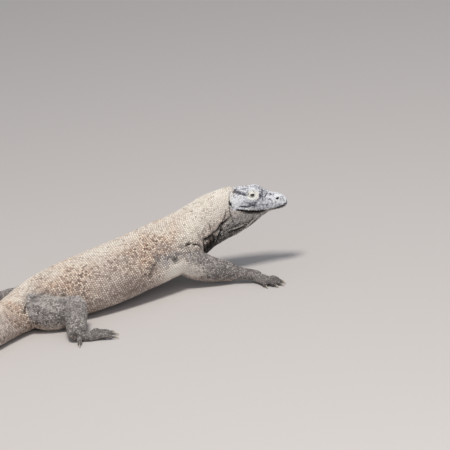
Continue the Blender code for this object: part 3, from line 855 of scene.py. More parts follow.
def slate_mask(body, legs, armpit, mottled):
    """The slate grey of the legs, the shoulders and the hips."""
    shoulder = band(body.turn, (66, 79), (94, 106)) * bell(body.station - 0.485, 0.100)
    hip = band(body.turn, (58, 72), (112, 124)) * bell(body.station - 0.985, 0.060)
    grey = legs + 0.68 * shoulder + 0.45 * hip + 0.22 * body.wander + 0.10 * body.drift
    beneath = ramp(-body.normals[:, 2], 0.25, 0.70) * (1.0 - body.mask(("hand", "foot", "forearm"), 8))
    return ramp(grey, 0.36, 0.66) * (1.0 - 0.85 * beneath) * (1.0 - 0.9 * armpit) * (1.0 - 0.6 * mottled)


def rust_mask(body, neck):
    """Rust flecks in patches on the flanks and in bands on the tail."""
    first, apart = TAIL_BANDS
    bands = 0.5 + 0.5 * np.cos((body.station - first) * 2.0 * np.pi / apart + 1.2 * body.drift)
    rust = 0.75 * bands * band(body.station, (0.98, 1.08), (1.9, 2.3))
    rust += sum(patch(body, *place) for place in RUST_PATCHES)
    broken = 0.75 + 0.8 * body.drift + 0.5 * body.wander
    return np.clip(rust * broken, 0, 1) * (1.0 - 0.6 * neck)


def head_colours(body, head, marks):
    """The blue-grey of the head, the olive of the throat and the pale ring round the eye."""
    blue = 1.0 - ramp(body.station + 0.009 * body.wander, 0.200, 0.232)
    chin = ramp(-head.over_mouth, 0.0, 0.006) * (1.0 - 0.7 * ramp(head.ahead, 0.040, 0.080))
    olive = ramp(body.turn + 6.0 * body.wander, 116, 132) * band(body.station, (0.02, 0.06), (0.33, 0.40))
    (ahead, length), (above, height) = EYE_RING
    round_eye = np.hypot((head.ahead - ahead) / length, (head.above - above) / height)
    ring = head.near * ramp(head.out, 0.015, 0.022)
    ring = ring * (1.0 - ramp(round_eye + 0.08 * body.wander, 0.84, 1.06))
    return blue * (1.0 - 0.75 * chin), olive, ring * (1.0 - np.clip(-1.4 * marks, 0, 1))


def neck_hollow_shade(body):
    """Painted shade in the hollow below the end of the neck, fainter underneath."""
    shade_under_neck = ramp(body.turn, 112, 120) * band(body.station, (0.280, 0.310), (0.340, 0.372))
    return shade_under_neck * (1.0 - 0.80 * ramp(body.turn + 6.0 * body.cloud, 138, 162))


def colour_masks(body, head, folds, crests, wrinkle_shade):
    """Where on the animal each of its colours lies, from 0 to 1, and how dark or pale it is there, with
    painted shade in the folds, openings and hollows and on the lower flanks.
    """
    body.wander, body.drift, body.cloud = (
        noise_at(body.points * per_metre, seed) for per_metre, seed in ((60.0, 11), (17.0, 12), (33.0, 13))
    )
    station, turn, drift, cloud = body.station, body.turn, body.drift, body.cloud
    legs = body.mask(LEGS, 14)
    neck = 1.0 - ramp(station + 0.012 * drift, 0.36, 0.50)
    back = 1.0 - ramp(turn + 9.0 * drift, 14, 60)
    before_trunk = ramp(body.points[:, 0] - box_centre("trunk")[0], 0.30, 0.35)
    armpit = patch(body, *ARMPIT) * (1.0 - before_trunk)
    mottled = mottled_mask(body)
    # painted shade in the hollow under the end of the neck
    shade_under_neck = neck_hollow_shade(body)
    marks = head_marks(body, head)
    blue, olive, ring = head_colours(body, head, marks)
    pale_neck = neck * (1.0 - 0.75 * ramp(turn + 8.0 * cloud, 72, 104))
    # paler neck top; the second term is painted shade, the lower flanks and belly darker towards the floor
    tone_and_shade = 0.16 * neck * (1.0 - ramp(turn, 60, 100)) - 0.10 * ramp(turn, 84, 120) * (1.0 - neck)
    tone_and_shade += 0.14 * back * (1.0 - neck) + 0.08 * drift * (1.0 - legs) + 0.06 * cloud
    # painted shade on the underside of the throat
    tone_and_shade -= 0.25 * ramp(turn, 150, 160) * (1.0 - ramp(station, 0.30, 0.36))
    # pale crests and armpit are colour; the rest is painted shade in wrinkle creases, under the neck and
    # behind the armpit
    tone_and_shade += 0.9 * crests + 1.1 * armpit - 0.22 * wrinkle_shade - 0.80 * shade_under_neck - patch(body, *FLANK_SHADE)
    tone_and_shade -= 0.14 * body.mask(("upper_arm", "forearm", "hand", "shank", "foot"), 12)
    tone_and_shade -= 0.12 * body.mask(("foot",), 10)
    tone_and_shade += head.near * (0.14 - 0.20 * ramp(head.above, 0.040, 0.060))
    # the head's marks include painted shade in the cheek crease and painted shadow under the lips
    tone_and_shade += marks * ramp(blue + olive, 0.2, 0.6) + 0.25 * ring
    return {
        "cream": np.clip(np.maximum.reduce([0.80 * back, pale_neck, armpit, mottled, crests]), 0, 1),
        "rust": rust_mask(body, neck),
        "slate": slate_mask(body, legs, armpit, mottled),
        "blue": blue * (1.0 - 0.6 * olive),
        "olive": olive * (1.0 - 0.8 * crests),
        "ring": ring,
        "tone_and_shade": tone_and_shade,
        # painted shade: folds, mouth groove, nostrils, ears, lid rims and the hollow under the neck
        "dark": np.maximum(folds, 0.45 * shade_under_neck),
    }


# ------------------------------------------------------------------ where the scales grow
TRUNK_PITCH = 0.0076  # from each scale to the next
TAIL_TIP_LESS = 0.0028  # how much nearer they are at the tail's tip
NECK_LESS = 0.0014
PITCHES = {"limb": 0.0058, "paw": 0.0039, "throat": 0.0046}
FACE_PITCH = 0.0039
CROWN_MORE = 0.0014  # how much farther apart they are over the face, on top of the head
LIPS_MORE = 0.0010
RING_LESS = 0.0010
HEAD_SPACING = 0.86  # the least distance between two plates, as a share of the pitch
SPACING = 0.62  # and between any two scales
SPOTS_FOR_PLATE = 9  # how many random spots are tried for each plate
Sites = namedtuple("Sites", "places corners back")  # the roots of scales, and the skin's nearest corners


def scale_pitch(body, head):
    """How far apart the scales are at each corner of the skin."""
    pitch = np.full(len(body.points), TRUNK_PITCH)
    pitch -= TAIL_TIP_LESS * ramp(body.station, 1.25, 2.3)
    pitch -= NECK_LESS * body.mask(("neck",), 14)
    lips = bell(np.abs(head.over_mouth) - 0.0045, 0.0030)
    face = FACE_PITCH + CROWN_MORE * ramp(head.above, 0.040, 0.055) + LIPS_MORE * lips
    face -= RING_LESS * body.fields["ring"]
    for name, other in (*PITCHES.items(), ("head", face)):
        share = body.regions[name]
        pitch = pitch * (1 - share) + other * share
    return pitch


def joined_sites(parts):
    """Many sets of roots as one."""
    return Sites(*map(np.concatenate, zip(*parts)))


def chosen_sites(sites, wanted):
    """Only the wanted roots."""
    return Sites(*(part[wanted] for part in sites))


def crossings(field, triangles):
    """Where a field passes a whole number on two sides of a triangle: pairs of (corner, corner, level)."""
    values = field[triangles]
    order = np.argsort(values, axis=1)
    low, middle, high = np.take_along_axis(values, order, 1).T
    corners = np.take_along_axis(triangles, order, 1)
    links = []
    for step in range(int((high - low).max()) + 2):
        level = np.ceil(low) + step
        for t in np.flatnonzero((level > low) & (level < high)).tolist():
            a, b, c = corners[t]
            across = (a, b) if middle[t] > level[t] else (b, c)
            links.append(((*sorted((a, c)), level[t]), (*sorted(across), level[t])))
    return links


def level_loops(field, triangles):
    """The closed lines where a field passes each whole number, as lists of (corner, corner, level)."""
    links = crossings(field, triangles)
    ends = {}
    for number, link in enumerate(links):
        for end in link:
            ends.setdefault(end, []).append(number)
    used = [False] * len(links)
    loops = []
    for number, (start, here) in enumerate(links):
        if used[number]:
            continue
        used[number] = True
        loop = [start]
        while here != start:
            loop.append(here)
            onward = [other for other in ends[here] if not used[other]]
            if not onward:
                break
            used[onward[0]] = True
            one, two = links[onward[0]]
            here = two if one == here else one
        loops.append(loop)
    return loops


def row_of_sites(body, pitch, field, loop):
    """Roots in one row, beginning nearest the back; None where there is no room for three."""
    a, b, (level, *_) = (np.array(part) for part in zip(*loop))
    share = (level - field[a]) / (field[b] - field[a])
    line = body.points[a] + share[:, None] * (body.points[b] - body.points[a])
    rise = (body.points[b] - body.points[a]) * np.sign(field[b] - field[a])[:, None]
    corner = np.where(share < 0.5, a, b)
    top = np.abs(body.round[corner]).argmin()
    line, rise, corner = (np.roll(part, -top, axis=0) for part in (line, rise, corner))
    ring = np.vstack([line, line[:1]])
    length = np.linalg.norm(np.diff(ring, axis=0), axis=1) / pitch[corner]
    along = np.concatenate([[0.0], np.cumsum(length)])
    count = int(round(along[-1]))
    if count < 3:
        return None
    at = (np.arange(count) + 0.5 * (level % 2)) / count * along[-1]
    index = np.minimum(np.searchsorted(along, at, side="right") - 1, len(line) - 1)
    places = between(at, along, ring)
    step = np.roll(places, -1, axis=0) - np.roll(places, 1, axis=0)
    back = unit(np.cross(step, body.normals[corner[index]]))
    back *= np.where((back * rise[index]).sum(1) < 0, -1.0, 1.0)[:, None]
    return Sites(places, corner[index], back)


def rows_of_sites(body, pitch):
    """Roots in rows across the body and limbs, each half a scale on from the row before."""
    field = travel_times(body.points, body.triangles, int(body.station.argmin()), 1.0 / pitch) + 0.5
    rows = [row_of_sites(body, pitch, field, loop) for loop in level_loops(field, body.triangles)]
    return joined_sites([row for row in rows if row])


def spaced(places, gaps):
    """Which places to keep so that none is nearer than its gap to one kept before it."""
    grid = {}
    keys = np.floor(places / gaps.max()).astype(int).tolist()
    around = [(i, j, k) for i in (-1, 0, 1) for j in (-1, 0, 1) for k in (-1, 0, 1)]
    keep = np.ones(len(places), bool)
    for n, ((x, y, z), (kx, ky, kz), gap) in enumerate(zip(places.tolist(), keys, gaps.tolist())):
        near = (place for i, j, k in around for place in grid.get((kx + i, ky + j, kz + k), ()))
        keep[n] = all((px - x) ** 2 + (py - y) ** 2 + (pz - z) ** 2 >= gap * gap for px, py, pz in near)
        if keep[n]:
            grid.setdefault((kx, ky, kz), []).append((x, y, z))
    return keep


def scattered_sites(body, pitch, chosen, back):
    """Evenly scattered roots over some of the skin, for the head's plates."""
    rng = np.random.default_rng(SEED)
    triangles = body.triangles[chosen[body.triangles].all(1)]
    a, b, c = (body.points[triangles[:, k]] for k in range(3))
    local = pitch[triangles].mean(1)
    weight = np.linalg.norm(np.cross(b - a, c - a), axis=1) / 2 / local**2
    total = int(weight.sum() * SPOTS_FOR_PLATE)
    pick = rng.choice(len(triangles), total, p=weight / weight.sum())
    u, v = rng.random(total), rng.random(total)
    flip = u + v > 1
    u[flip], v[flip] = 1 - u[flip], 1 - v[flip]
    spots = a[pick] + u[:, None] * (b - a)[pick] + v[:, None] * (c - a)[pick]
    spot_tree = tree_of(spots)
    places = spots[spaced(spots, local[pick] * HEAD_SPACING)]
    for _ in range(4):
        tree = tree_of(places)
        owner = np.array([tree.find(spot)[1] for spot in spots])
        size = np.maximum(np.bincount(owner, minlength=len(places)), 1)
        mean = np.stack([np.bincount(owner, column, len(places)) / size for column in spots.T], 1)
        nearest = np.array([spot_tree.find(place)[1] for place in mean])
        places = spots[nearest]
    places, first = np.unique(places, axis=0, return_index=True)
    return Sites(places, triangles[pick[nearest[first]], 0], np.tile(back, (len(places), 1)))


def scale_sites(body, head, pitch):
    """The roots of all scales: plates on the head, rows elsewhere, and none in the openings."""
    on_head = body.regions["head"] > 0.55
    rows = rows_of_sites(body, pitch)
    rows = chosen_sites(rows, ~on_head[rows.corners])
    plates = scattered_sites(body, pitch, on_head, -head.ahead_axis)
    sites = joined_sites([rows, plates])
    sites = chosen_sites(sites, body.bare[sites.corners] < 0.5)
    return chosen_sites(sites, spaced(sites.places, SPACING * pitch[sites.corners]))


# ------------------------------------------------------------------ the scales
SCALE_SIDES = 8
SCALE_ANGLES = 2 * np.pi * (np.arange(SCALE_SIDES) + 0.5) / SCALE_SIDES
NEIGHBOURS = 11
DOME = ((0.90, -0.60), (0.79, 0.42), (0.46, 0.90))  # share of the reach and of the height of each ring
LONGEST_REACH = 0.78  # as a share of the pitch
SCALE_HEIGHT = 0.00125  # on the trunk
UNDERSIDE = (105, 150)  # the degrees round between which the scales become flatter
ABOVE_FLOOR = 0.00005
UV_PATCH = 0.0015  # half the size of each scale's patch on the flat, for a scale that reaches UV_REACH
UV_REACH = 0.004


def dome_faces():
    """The faces of one scale: rings of triangles up to its top."""
    top = len(DOME) * SCALE_SIDES
    faces = []
    for k in range(SCALE_SIDES):
        n = (k + 1) % SCALE_SIDES
        for low in range(0, top - SCALE_SIDES, SCALE_SIDES):
            high = low + SCALE_SIDES
            faces += [(low + k, low + n, high + n), (low + k, high + n, high + k)]
        faces.append((top - SCALE_SIDES + k, top - SCALE_SIDES + n, top))
    return np.array(faces)


class Scales:
    """All the scales: where each one grows, its directions, its reach and height, and its colours."""

    def __init__(self, body, head):
        pitch = scale_pitch(body, head)
        sites = scale_sites(body, head, pitch)
        at = sites.corners
        pitch = pitch[at]
        self.places, self.normals = sites.places, body.normals[at]
        self.owner, self.station, self.round = body.owner[at], body.station[at], body.round[at]
        self.on_paw = body.regions["paw"][at] > 0.5
        self.back = unit(sites.back - self.normals * (sites.back * self.normals).sum(1)[:, None])
        self.across = np.cross(self.normals, self.back)
        self.reaches = self.find_reaches(LONGEST_REACH * pitch[:, None])
        self.heights = SCALE_HEIGHT * (pitch / TRUNK_PITCH) ** 0.7
        self.heights *= 1.0 - 0.35 * ramp(body.turn[at], *UNDERSIDE)
        self.fields = {key: values[at] for key, values in body.fields.items()}
        self.fields["place"] = self.places

    def find_reaches(self, longest):
        """How far each scale reaches in eight directions, to fit between its neighbours."""
        tree = tree_of(self.places)
        near = [[found[1] for found in tree.find_n(place, NEIGHBOURS)[1:]] for place in self.places]
        offset = self.places[np.array(near)] - self.places[:, None]
        x = (offset * self.back[:, None]).sum(2)
        y = (offset * self.across[:, None]).sum(2)
        half = (x * x + y * y) / 2
        reaches = []
        for angle in SCALE_ANGLES:
            towards = x * math.cos(angle) + y * math.sin(angle)
            limit = np.where(towards > 1e-5, half / np.maximum(towards, 1e-5), np.inf)
            reaches.append(limit.min(1))
        return np.minimum(np.stack(reaches, 1), longest)

    def mesh(self, name, pick, flat):
        """One joined mesh of some of the scales: low domes that reach a little below the skin."""
        rng = np.random.default_rng(SEED + len(name))
        count = len(pick)
        lay = (self.heights[pick] * rng.uniform(0.85, 1.12, count))[:, None]
        tilt = rng.normal(0.0, 0.05, (count, 2)) + (0.07, 0.0)
        x, y, z = [], [], []
        for share, level in DOME:
            x.append(self.reaches[pick] * share * np.cos(SCALE_ANGLES))
            y.append(self.reaches[pick] * share * np.sin(SCALE_ANGLES))
            z.append(lay * level + (tilt[:, :1] * x[-1] + tilt[:, 1:] * y[-1]) * (level > 0))
        middle = np.zeros((count, 1))
        x, y, z = (np.hstack(rings) for rings in ([*x, middle], [*y, middle], [*z, lay]))
        points = self.places[pick][:, None]
        for move, axis in ((x, self.back), (y, self.across), (z, self.normals)):
            points = points + move[..., None] * axis[pick][:, None]
        points[..., 2] = np.maximum(points[..., 2], ABOVE_FLOOR)
        each = x.shape[1]
        faces = dome_faces() + (np.arange(count) * each)[:, None, None]
        mesh = mesh_from(name, points.reshape(-1, 3), faces.reshape(-1, 3))
        for key, values in self.fields.items():
            set_values(mesh, key, np.repeat(values[pick], each, axis=0))
        corners = np.empty(len(mesh.loops), np.int64)
        mesh.loops.foreach_get("vertex_index", corners)
        spread = np.clip(np.stack([x, y], 2) / UV_REACH, -1, 1) * UV_PATCH
        places = (flat[:, None] + spread).reshape(-1, 2)[corners]
        layer = mesh.uv_layers.new(name="OFBake")
        layer.data.foreach_set("uv", places.astype(np.float32).ravel())
        return mesh


# ------------------------------------------------------------------ the coat in pieces
COAT_PIECES = {
    "scales_head": ("head", "lower_jaw", "right_eye", "left_eye"),
    "scales_neck": ("neck", "throat"),
    "scales_trunk_front": ("trunk",),
    "scales_trunk_rear": ("trunk",),
    "scales_tail_front": ("tail_base", "tail_middle"),
    "scales_tail_rear": ("tail_rear", "tail_tip"),
}
for limb, parts in (("arm", ("upper_arm", "forearm", "hand")), ("leg", ("thigh", "shank", "foot"))):
    for side in SIDES:
        COAT_PIECES[f"scales_{side}_{limb}"] = tuple(f"{side}_{part}" for part in parts)
TRUNK_SPLIT = 0.72  # how far back the trunk's front piece ends


def spread_out(values, low, high):
    """Values from low to high as places from edge to edge of the flat."""
    return 0.02 + 0.96 * (values - low) / (high - low)


def body_unwrap(scales, pick):
    """A place on the flat for scales of head, body and tail: back along it, and round it."""
    station = scales.station[pick]
    back = spread_out(station, station.min(), station.max())
    return np.stack([back, spread_out(scales.round[pick], -180, 180)], 1)


def limb_unwrap(scales, pick):
    """A place on the flat for scales of a limb: its sleeve below, and the two sides of its paw above."""
    places, station, on_paw = scales.places[pick], scales.station[pick], scales.on_paw[pick]
    out = places - places.mean(0)
    axis = np.linalg.svd(out, full_matrices=False)[2][0]
    side = unit(np.cross(axis, UP))
    angle = np.arctan2(out @ np.cross(side, axis), out @ side)
    along = spread_out(station, station.min(), station.max())
    flat = np.stack([along, 0.25 + 0.46 * angle / (2 * np.pi)], 1)
    corner = places[on_paw].min(0)[:2]
    size = (places[on_paw].max(0)[:2] - corner).max()
    paw = (0.02, 0.52) + 0.46 * (places[:, :2] - corner) / size
    paw[:, 0] += 0.5 * (scales.normals[pick][:, 2] < 0)
    return np.where(on_paw[:, None], paw, flat)


def make_coat(body, head):
    """All the scales, as one joined mesh for each region of the animal."""
    scales = Scales(body, head)
    paint = scale_material()
    for name, parts in COAT_PIECES.items():
        numbers = [number for number, solid in enumerate(body.solids.names) if solid in parts]
        chosen = np.isin(scales.owner, numbers)
        if "trunk" in name:
            chosen &= (scales.station < TRUNK_SPLIT) == ("front" in name)
        pick = np.flatnonzero(chosen)
        unwrap = limb_unwrap if "arm" in name or "leg" in name else body_unwrap
        coat = new_object(name, scales.mesh(name, pick, unwrap(scales, pick)))
        coat.data.materials.append(paint)
        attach(coat, "root")


# ------------------------------------------------------------------ materials
class Nodes:
    """A new material, with short ways to add and link its nodes."""

    def __init__(self, name):
        self.material = bpy.data.materials.new(name)
        self.material.use_nodes = True
        self.tree = self.material.node_tree
        self.shader = self.tree.nodes["Principled BSDF"]

    def add(self, kind, settings=None, **inputs):
        """A node of that kind, with its settings and named inputs."""
        node = self.tree.nodes.new(kind)
        for key, value in (settings or {}).items():
            setattr(node, key, value)
        for key, value in inputs.items():
            self.feed(node.inputs[key], value)
        return node

    def feed(self, socket, value):
        """Links or sets an input."""
        if isinstance(value, bpy.types.NodeSocket):
            self.tree.links.new(value, socket)
        else:
            socket.default_value = value

    def shade(self, **inputs):
        """Links or sets inputs of the shader, with _ for each space in their names."""
        for key, value in inputs.items():
            self.feed(self.shader.inputs[key.replace("_", " ")], value)

    def field(self, name, output="Fac"):
        """The value kept on the mesh under that name."""
        return self.add("ShaderNodeAttribute", {"attribute_name": name}).outputs[output]

    def object_place(self):
        """The place in the object's own coordinates."""
        return self.add("ShaderNodeTexCoord").outputs["Object"]

    def math(self, operation, a, b):
        """A sum, product or other operation."""
        node = self.add("ShaderNodeMath", {"operation": operation})
        self.feed(node.inputs[0], a)
        self.feed(node.inputs[1], b)
        return node.outputs[0]

    def plus(self, start, value, factor):
        """The start and the value times the factor."""
        return self.math("ADD", start, self.math("MULTIPLY", value, factor))

    def noise(self, place, scale, detail=3.0, roughness=0.6):
        """Smooth noise round a half."""
        inputs = {"Vector": place, "Scale": scale, "Detail": detail, "Roughness": roughness}
        return self.add("ShaderNodeTexNoise", **inputs).outputs["Fac"]

    def bump(self, height, strength, distance):
        """Fine relief; a negative strength turns it inwards."""
        node = self.add("ShaderNodeBump", {"invert": strength < 0}, Height=height)
        self.feed(node.inputs["Strength"], abs(strength))
        self.feed(node.inputs["Distance"], distance)
        self.shade(Normal=node.outputs[0])

    def step(self, value, low, high):
        """0 below low and 1 above high, with a smooth slope between."""
        node = self.add("ShaderNodeMapRange", {"interpolation_type": "SMOOTHSTEP"}, Value=value)
        self.feed(node.inputs["From Min"], low)
        self.feed(node.inputs["From Max"], high)
        return node.outputs[0]

    def mix(self, share, a, b):
        """A colour between two."""
        node = self.add("ShaderNodeMix", {"data_type": "RGBA"})
        for number, value in ((0, share), (6, a), (7, b)):
            self.feed(node.inputs[number], value)
        return node.outputs[2]


def tone(red, green, blue):
    """A screen colour, 0 to 255, for a node's input."""
    return tuple(((part / 255 + 0.055) / 1.055) ** 2.4 for part in (red, green, blue)) + (1.0,)


# the colour of painted shade in folds, openings and the hollow under the neck
SHADE_BLACK = tone(20, 17, 16)
UMBER = tone(74, 62, 54)
# The darkest, middle and palest tones of the flank, and of each colouring that lies over it by its mask.
FLANK_TONES = (tone(140, 124, 115), tone(202, 188, 178), tone(230, 218, 208))
COLOURINGS = {
    "cream": (tone(156, 141, 124), tone(228, 216, 202), tone(250, 245, 234)),
    "rust": (tone(74, 56, 46), tone(204, 168, 144), tone(250, 234, 210)),
    "slate": (tone(102, 97, 95), tone(174, 167, 163), tone(218, 211, 204)),
    "blue": (tone(84, 84, 96), tone(204, 207, 213), tone(250, 251, 253)),
    "olive": (tone(54, 51, 47), tone(170, 165, 163), tone(224, 219, 210)),
    "ring": (tone(206, 202, 184), tone(244, 241, 229), tone(253, 252, 246)),
}


TO_MIDDLE, TO_PALEST = (0.12, 0.50), (0.50, 0.92)  # the tints between which each next tone comes in


def markings(n, place, grain, level):
    """The animal's colours at a place on it: one of the three tones there, by its grain and tint."""
    flecks = n.math("SUBTRACT", n.noise(place, 125.0, 1.5), 0.5)
    strong = n.math("MAXIMUM", n.math("MULTIPLY", n.field("rust"), 0.8), n.field("blue"))
    # this tone field carries painted shade as well as the animal's own paleness
    tint = n.plus(n.field("tone_and_shade"), grain, 0.95)
    tint = n.plus(tint, flecks, n.math("ADD", 0.65, strong))
    tint = n.math("ADD", n.plus(tint, n.noise(place, 24.0, 2.0), 0.20), level)
    tones = FLANK_TONES
    for name, others in COLOURINGS.items():
        share = n.field(name)
        tones = [n.mix(share, one, other) for one, other in zip(tones, others)]
    colour = n.mix(n.step(tint, *TO_MIDDLE), tones[0], tones[1])
    return n.mix(n.step(tint, *TO_PALEST), colour, tones[2])


def scale_material():
    """The scales: their markings, with a random paleness for each, a faint wear, painted shade in the
    folds and openings, and a dry gloss.
    """
    n = Nodes("scales")
    place = n.field("place", "Vector")
    grain = n.add("ShaderNodeTexWhiteNoise", Vector=place).outputs["Value"]
    colour = markings(n, place, grain, -0.02)
    where = n.object_place()
    wear = n.noise(where, 420.0, 2.0)
    colour = n.mix(n.math("MULTIPLY", wear, 0.30), colour, n.mix(0.5, colour, UMBER))
    # the dark field lays painted shade into folds and openings
    n.shade(Base_Color=n.mix(n.field("dark"), colour, SHADE_BLACK), Roughness=n.plus(0.42, wear, 0.25))
    n.shade(Specular_IOR_Level=0.3)
    n.bump(n.noise(where, 900.0), 0.25, 0.0004)
    return n.material


def skin_material():
    """The skin between the scales: the same markings, darker, with fine granules and painted shade in the
    folds and openings.
    """
    n = Nodes("skin")
    place = n.field("place", "Vector")
    colour = markings(n, place, n.noise(place, 260.0, 2.0), -0.28)
    granules = n.add("ShaderNodeTexVoronoi", Vector=place, Scale=650.0).outputs[0]
    colour = n.mix(n.math("MULTIPLY", granules, 0.65), colour, UMBER)
    # the dark field lays painted shade into folds and openings
    n.shade(Base_Color=n.mix(n.field("dark"), colour, SHADE_BLACK), Roughness=n.plus(0.5, granules, 0.25))
    n.shade(Specular_IOR_Level=0.3)
    n.bump(granules, -0.5, 0.0005)
    return n.material


def claw_material():
    """Dark worn horn, paler towards the tip, with streaks along it."""
    n = Nodes("claws")
    streaks = n.noise(n.object_place(), 300.0)
    tint = n.plus(n.field("along"), n.math("SUBTRACT", streaks, 0.5), 0.6)
    colour = n.mix(n.step(tint, 0.1, 0.9), tone(88, 82, 77), tone(188, 178, 162))
    n.shade(Base_Color=colour, Roughness=n.plus(0.22, streaks, 0.25))
    n.bump(streaks, 0.3, 0.0004)
    return n.material


def eye_material():
    """A brown iris with a gold ring and a round dark pupil, wet over the top."""
    n = Nodes("eye")
    off_axis = n.field("off_axis")
    flecks = n.noise(n.object_place(), 1400.0, 3.0, 0.7)
    wobble = n.plus(off_axis, n.math("SUBTRACT", flecks, 0.5), 0.0008)
    iris = n.mix(flecks, tone(38, 27, 19), tone(70, 50, 34))
    gold = n.math("MULTIPLY", n.step(wobble, 0.0044, 0.0036), n.step(wobble, 0.0030, 0.0036))
    iris = n.mix(gold, iris, tone(104, 78, 48))
    colour = n.mix(n.step(wobble, 0.0060, 0.0068), iris, tone(52, 42, 34))
    colour = n.mix(n.step(off_axis, 0.0034, 0.0029), colour, tone(8, 8, 8))
    n.shade(Base_Color=colour, Roughness=n.plus(0.10, flecks, 0.05))
    n.shade(Coat_Weight=1.0, Coat_Roughness=0.02)
    return n.material


# ------------------------------------------------------------------ the skin, claws and eyes
EYE_RINGS = 28
EYE_SECTIONS = 40
BEHIND_EYE = 0.02  # farther off the eye's axis than any ring of its front


def make_skin(nodes, body):
    """The skin over all the flesh, with the masks that its material reads."""
    mesh = body.mesh
    skin = new_object("skin", mesh)
    for key, values in body.fields.items():
        set_values(mesh, key, values)
    set_values(mesh, "place", body.points)
    mesh.shade_smooth()
    mesh.materials.clear()
    mesh.materials.append(skin_material())
    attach(skin, "root")
    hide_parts(*[name for name in nodes if is_flesh(name)])


def curved_claw(name, node, root):
    """One claw over its solid, smooth and rooted in its toe, and how far along it each corner is."""
    work = new_object(name + "_work", listed_mesh(name + "_work", *solid_arrays(node)))
    mesh = modified(work, "SUBSURF", levels=2, render_levels=2)
    points, _, _ = mesh_arrays(mesh)
    reach = np.linalg.norm((points - root)[:, :2], axis=1)
    share = (reach - reach.min()) / np.ptp(reach)
    base, tip = points[share < 0.12].mean(0), points[share > 0.88].mean(0)
    points += unit(base - tip) * (CLAW_ROOT * (1.0 - ramp(share, 0.05, 0.45)))[:, None]
    middle = base + (tip - base) * share[:, None]
    points += (middle - points) * (0.16 * ramp(share, 0.0, 0.3) * (1.0 - share))[:, None]
    return (points, [polygon.vertices for polygon in mesh.polygons]), share


def make_claws(nodes, paw, material):
    """The claws of one paw, as one piece."""
    names = sorted(name for name in nodes if name.startswith(paw + "_claw"))
    claws, along = zip(*(curved_claw(name, nodes[name], box_centre(paw)) for name in names))
    mesh = listed_mesh(paw + "_claws", *joined(claws))
    set_values(mesh, "along", np.concatenate(along))
    mesh.shade_smooth()
    mesh.materials.append(material)
    claws = new_object(paw + "_claws", mesh)
    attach(claws, "root")
    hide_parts(*names)


def ball(centre, gaze, ahead, up):
    """The corners and faces of a ball whose rings lie across the gaze."""
    points, faces = [], []
    for ring in range(EYE_RINGS + 1):
        turn = math.pi * (0.012 + 0.976 * ring / EYE_RINGS)
        along, radius = -EYEBALL * math.cos(turn), EYEBALL * math.sin(turn)
        for k in range(EYE_SECTIONS):
            angle = 2 * math.pi * k / EYE_SECTIONS
            across = ahead * math.cos(angle) + up * math.sin(angle)
            points.append(centre + gaze * along + across * radius)
            n = (k + 1) % EYE_SECTIONS
            low, high = ring * EYE_SECTIONS, (ring + 1) * EYE_SECTIONS
            if ring < EYE_RINGS:
                faces.append((low + k, low + n, high + n, high + k))
    faces.append(tuple(range(EYE_SECTIONS))[::-1])
    faces.append(tuple(EYE_RINGS * EYE_SECTIONS + k for k in range(EYE_SECTIONS)))
    return np.array(points), faces


def make_eye(name, head, material):
    """An eyeball, with how far each corner lies off its axis kept for the iris."""
    centre = box_centre(f"{name}_eye")
    gaze, ahead, up = head.eye_axes(SIDES[name])
    points, faces = ball(centre, gaze, ahead, up)
    mesh = listed_mesh(f"{name}_eyeball", points, faces)
    out = points - centre
    off_axis = np.linalg.norm(np.cross(out, gaze), axis=1)
    off_axis[out @ gaze < 0] = BEHIND_EYE
    set_values(mesh, "off_axis", off_axis)
    mesh.shade_smooth()
    mesh.materials.append(material)
    eye = new_object(f"{name}_eyeball", mesh)
    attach(eye, "root")
    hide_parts(f"{name}_eye")


# ------------------------------------------------------------------ camera, floor and light
VIEW_AZIMUTH = math.radians(-25.0)
VIEW_ELEVATION = math.radians(18.0)
VIEW_ROLL = math.radians(8.0)
VIEW_DISTANCE = 14.0
VIEW_WIDTH = 1.5517  # how much of the world the picture is wide at the target
VIEW_PAST_EYE = np.array((-0.1628, -0.0957, -0.0461))  # from the near eye to the picture's middle
FLOOR_HALF = 20.0
FLOOR_DROP = 0.0003  # how far the floor lies below the animal's flats
FLOOR_COLOUR = (0.57, 0.535, 0.515, 1.0)
SKY_COLOUR, SKY_STRENGTH = (0.86, 0.91, 1.0, 1.0), 0.40
# Each light's place, the point at which it aims, its size, power and colour.
LIGHTS = {
    "key": ((-0.6, -2.0, 7.1), (0.3, 0.0, 0.1), 1.76, 406.0, (1.0, 0.96, 0.91)),
    "fill": ((0.2, -3.6, 1.5), (0.0, 0.0, 0.1), 2.4, 18.0, (0.94, 0.96, 1.0)),
}


def view_axes():
    """The camera's right, up and back directions."""
    sine, cosine = math.sin(VIEW_AZIMUTH), math.cos(VIEW_AZIMUTH)
    level = math.cos(VIEW_ELEVATION)
    right = np.array((cosine, sine, 0.0))
    back = np.array((sine * level, -cosine * level, math.sin(VIEW_ELEVATION)))
    up = np.cross(back, right)
    rolled_right = right * math.cos(VIEW_ROLL) - up * math.sin(VIEW_ROLL)
    rolled_up = right * math.sin(VIEW_ROLL) + up * math.cos(VIEW_ROLL)
    return rolled_right, rolled_up, back


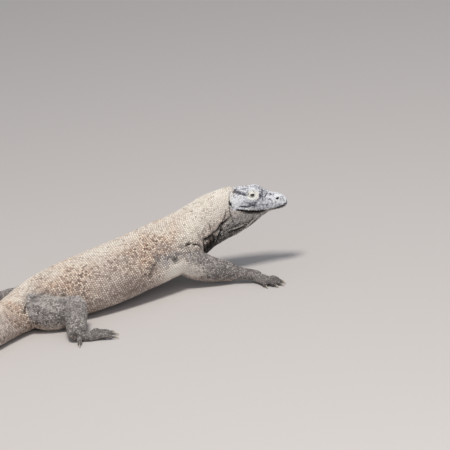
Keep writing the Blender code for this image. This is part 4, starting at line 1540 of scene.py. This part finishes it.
def add_camera():
    """A long lens at the picture's angle."""
    right, up, back = view_axes()
    data = bpy.data.cameras.new("camera")
    data.sensor_width = 36.0
    data.angle = 2.0 * math.atan(VIEW_WIDTH / 2.0 / VIEW_DISTANCE)
    data.clip_end = 100.0
    camera = new_object("camera", data)
    place = box_centre("right_eye") + VIEW_PAST_EYE + back * VIEW_DISTANCE
    camera.matrix_world = Matrix(np.vstack([np.stack([right, up, back, place], 1), (0, 0, 0, 1)]).tolist())
    bpy.context.scene.camera = camera


def add_area_light(name, place, aim, size, power, colour):
    """A soft square light that shines from place towards aim."""
    data = bpy.data.lights.new(name, "AREA")
    data.size = size
    data.energy = power
    data.color = colour
    light = new_object(name, data)
    light.location = place
    light.rotation_euler = (Vector(aim) - Vector(place)).to_track_quat("-Z", "Y").to_euler()


def add_floor():
    """A pale floor."""
    corners = np.array([(-1, -1, 0), (1, -1, 0), (1, 1, 0), (-1, 1, 0)]) * FLOOR_HALF
    mesh = mesh_from("floor", corners, np.array([[0, 1, 2, 3]]))
    floor = new_object("floor", mesh)
    floor.location = (0.0, 0.0, -FLOOR_DROP)
    n = Nodes("floor")
    n.shade(Base_Color=FLOOR_COLOUR, Roughness=0.9)
    mesh.materials.append(n.material)


def add_studio():
    """The floor, under soft light from above."""
    add_floor()
    world = bpy.data.worlds.new("studio")
    bpy.context.scene.world = world
    world.use_nodes = True
    sky = world.node_tree.nodes["Background"].inputs
    sky["Color"].default_value = SKY_COLOUR
    sky["Strength"].default_value = SKY_STRENGTH
    for name, light in LIGHTS.items():
        add_area_light(name, *light)
    bpy.context.scene.view_settings.view_transform = "Standard"


def main():
    """Builds the animal over its frame."""
    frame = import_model()
    cad_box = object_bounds()
    nodes = frame["nodes"]
    solids = Solids(nodes)
    head = Head()
    mesh = refined_skin(base_skin(nodes, solids), solids, head)
    body = BodyMap(mesh, solids, head)
    sculpt(body, head, cad_box)
    make_skin(nodes, body)
    make_coat(body, head)
    horn = claw_material()
    for paw in ("right_hand", "left_hand", "right_foot", "left_foot"):
        make_claws(nodes, paw, horn)
    wet = eye_material()
    for name in SIDES:
        make_eye(name, head, wet)
    add_camera()
    add_studio()


main()
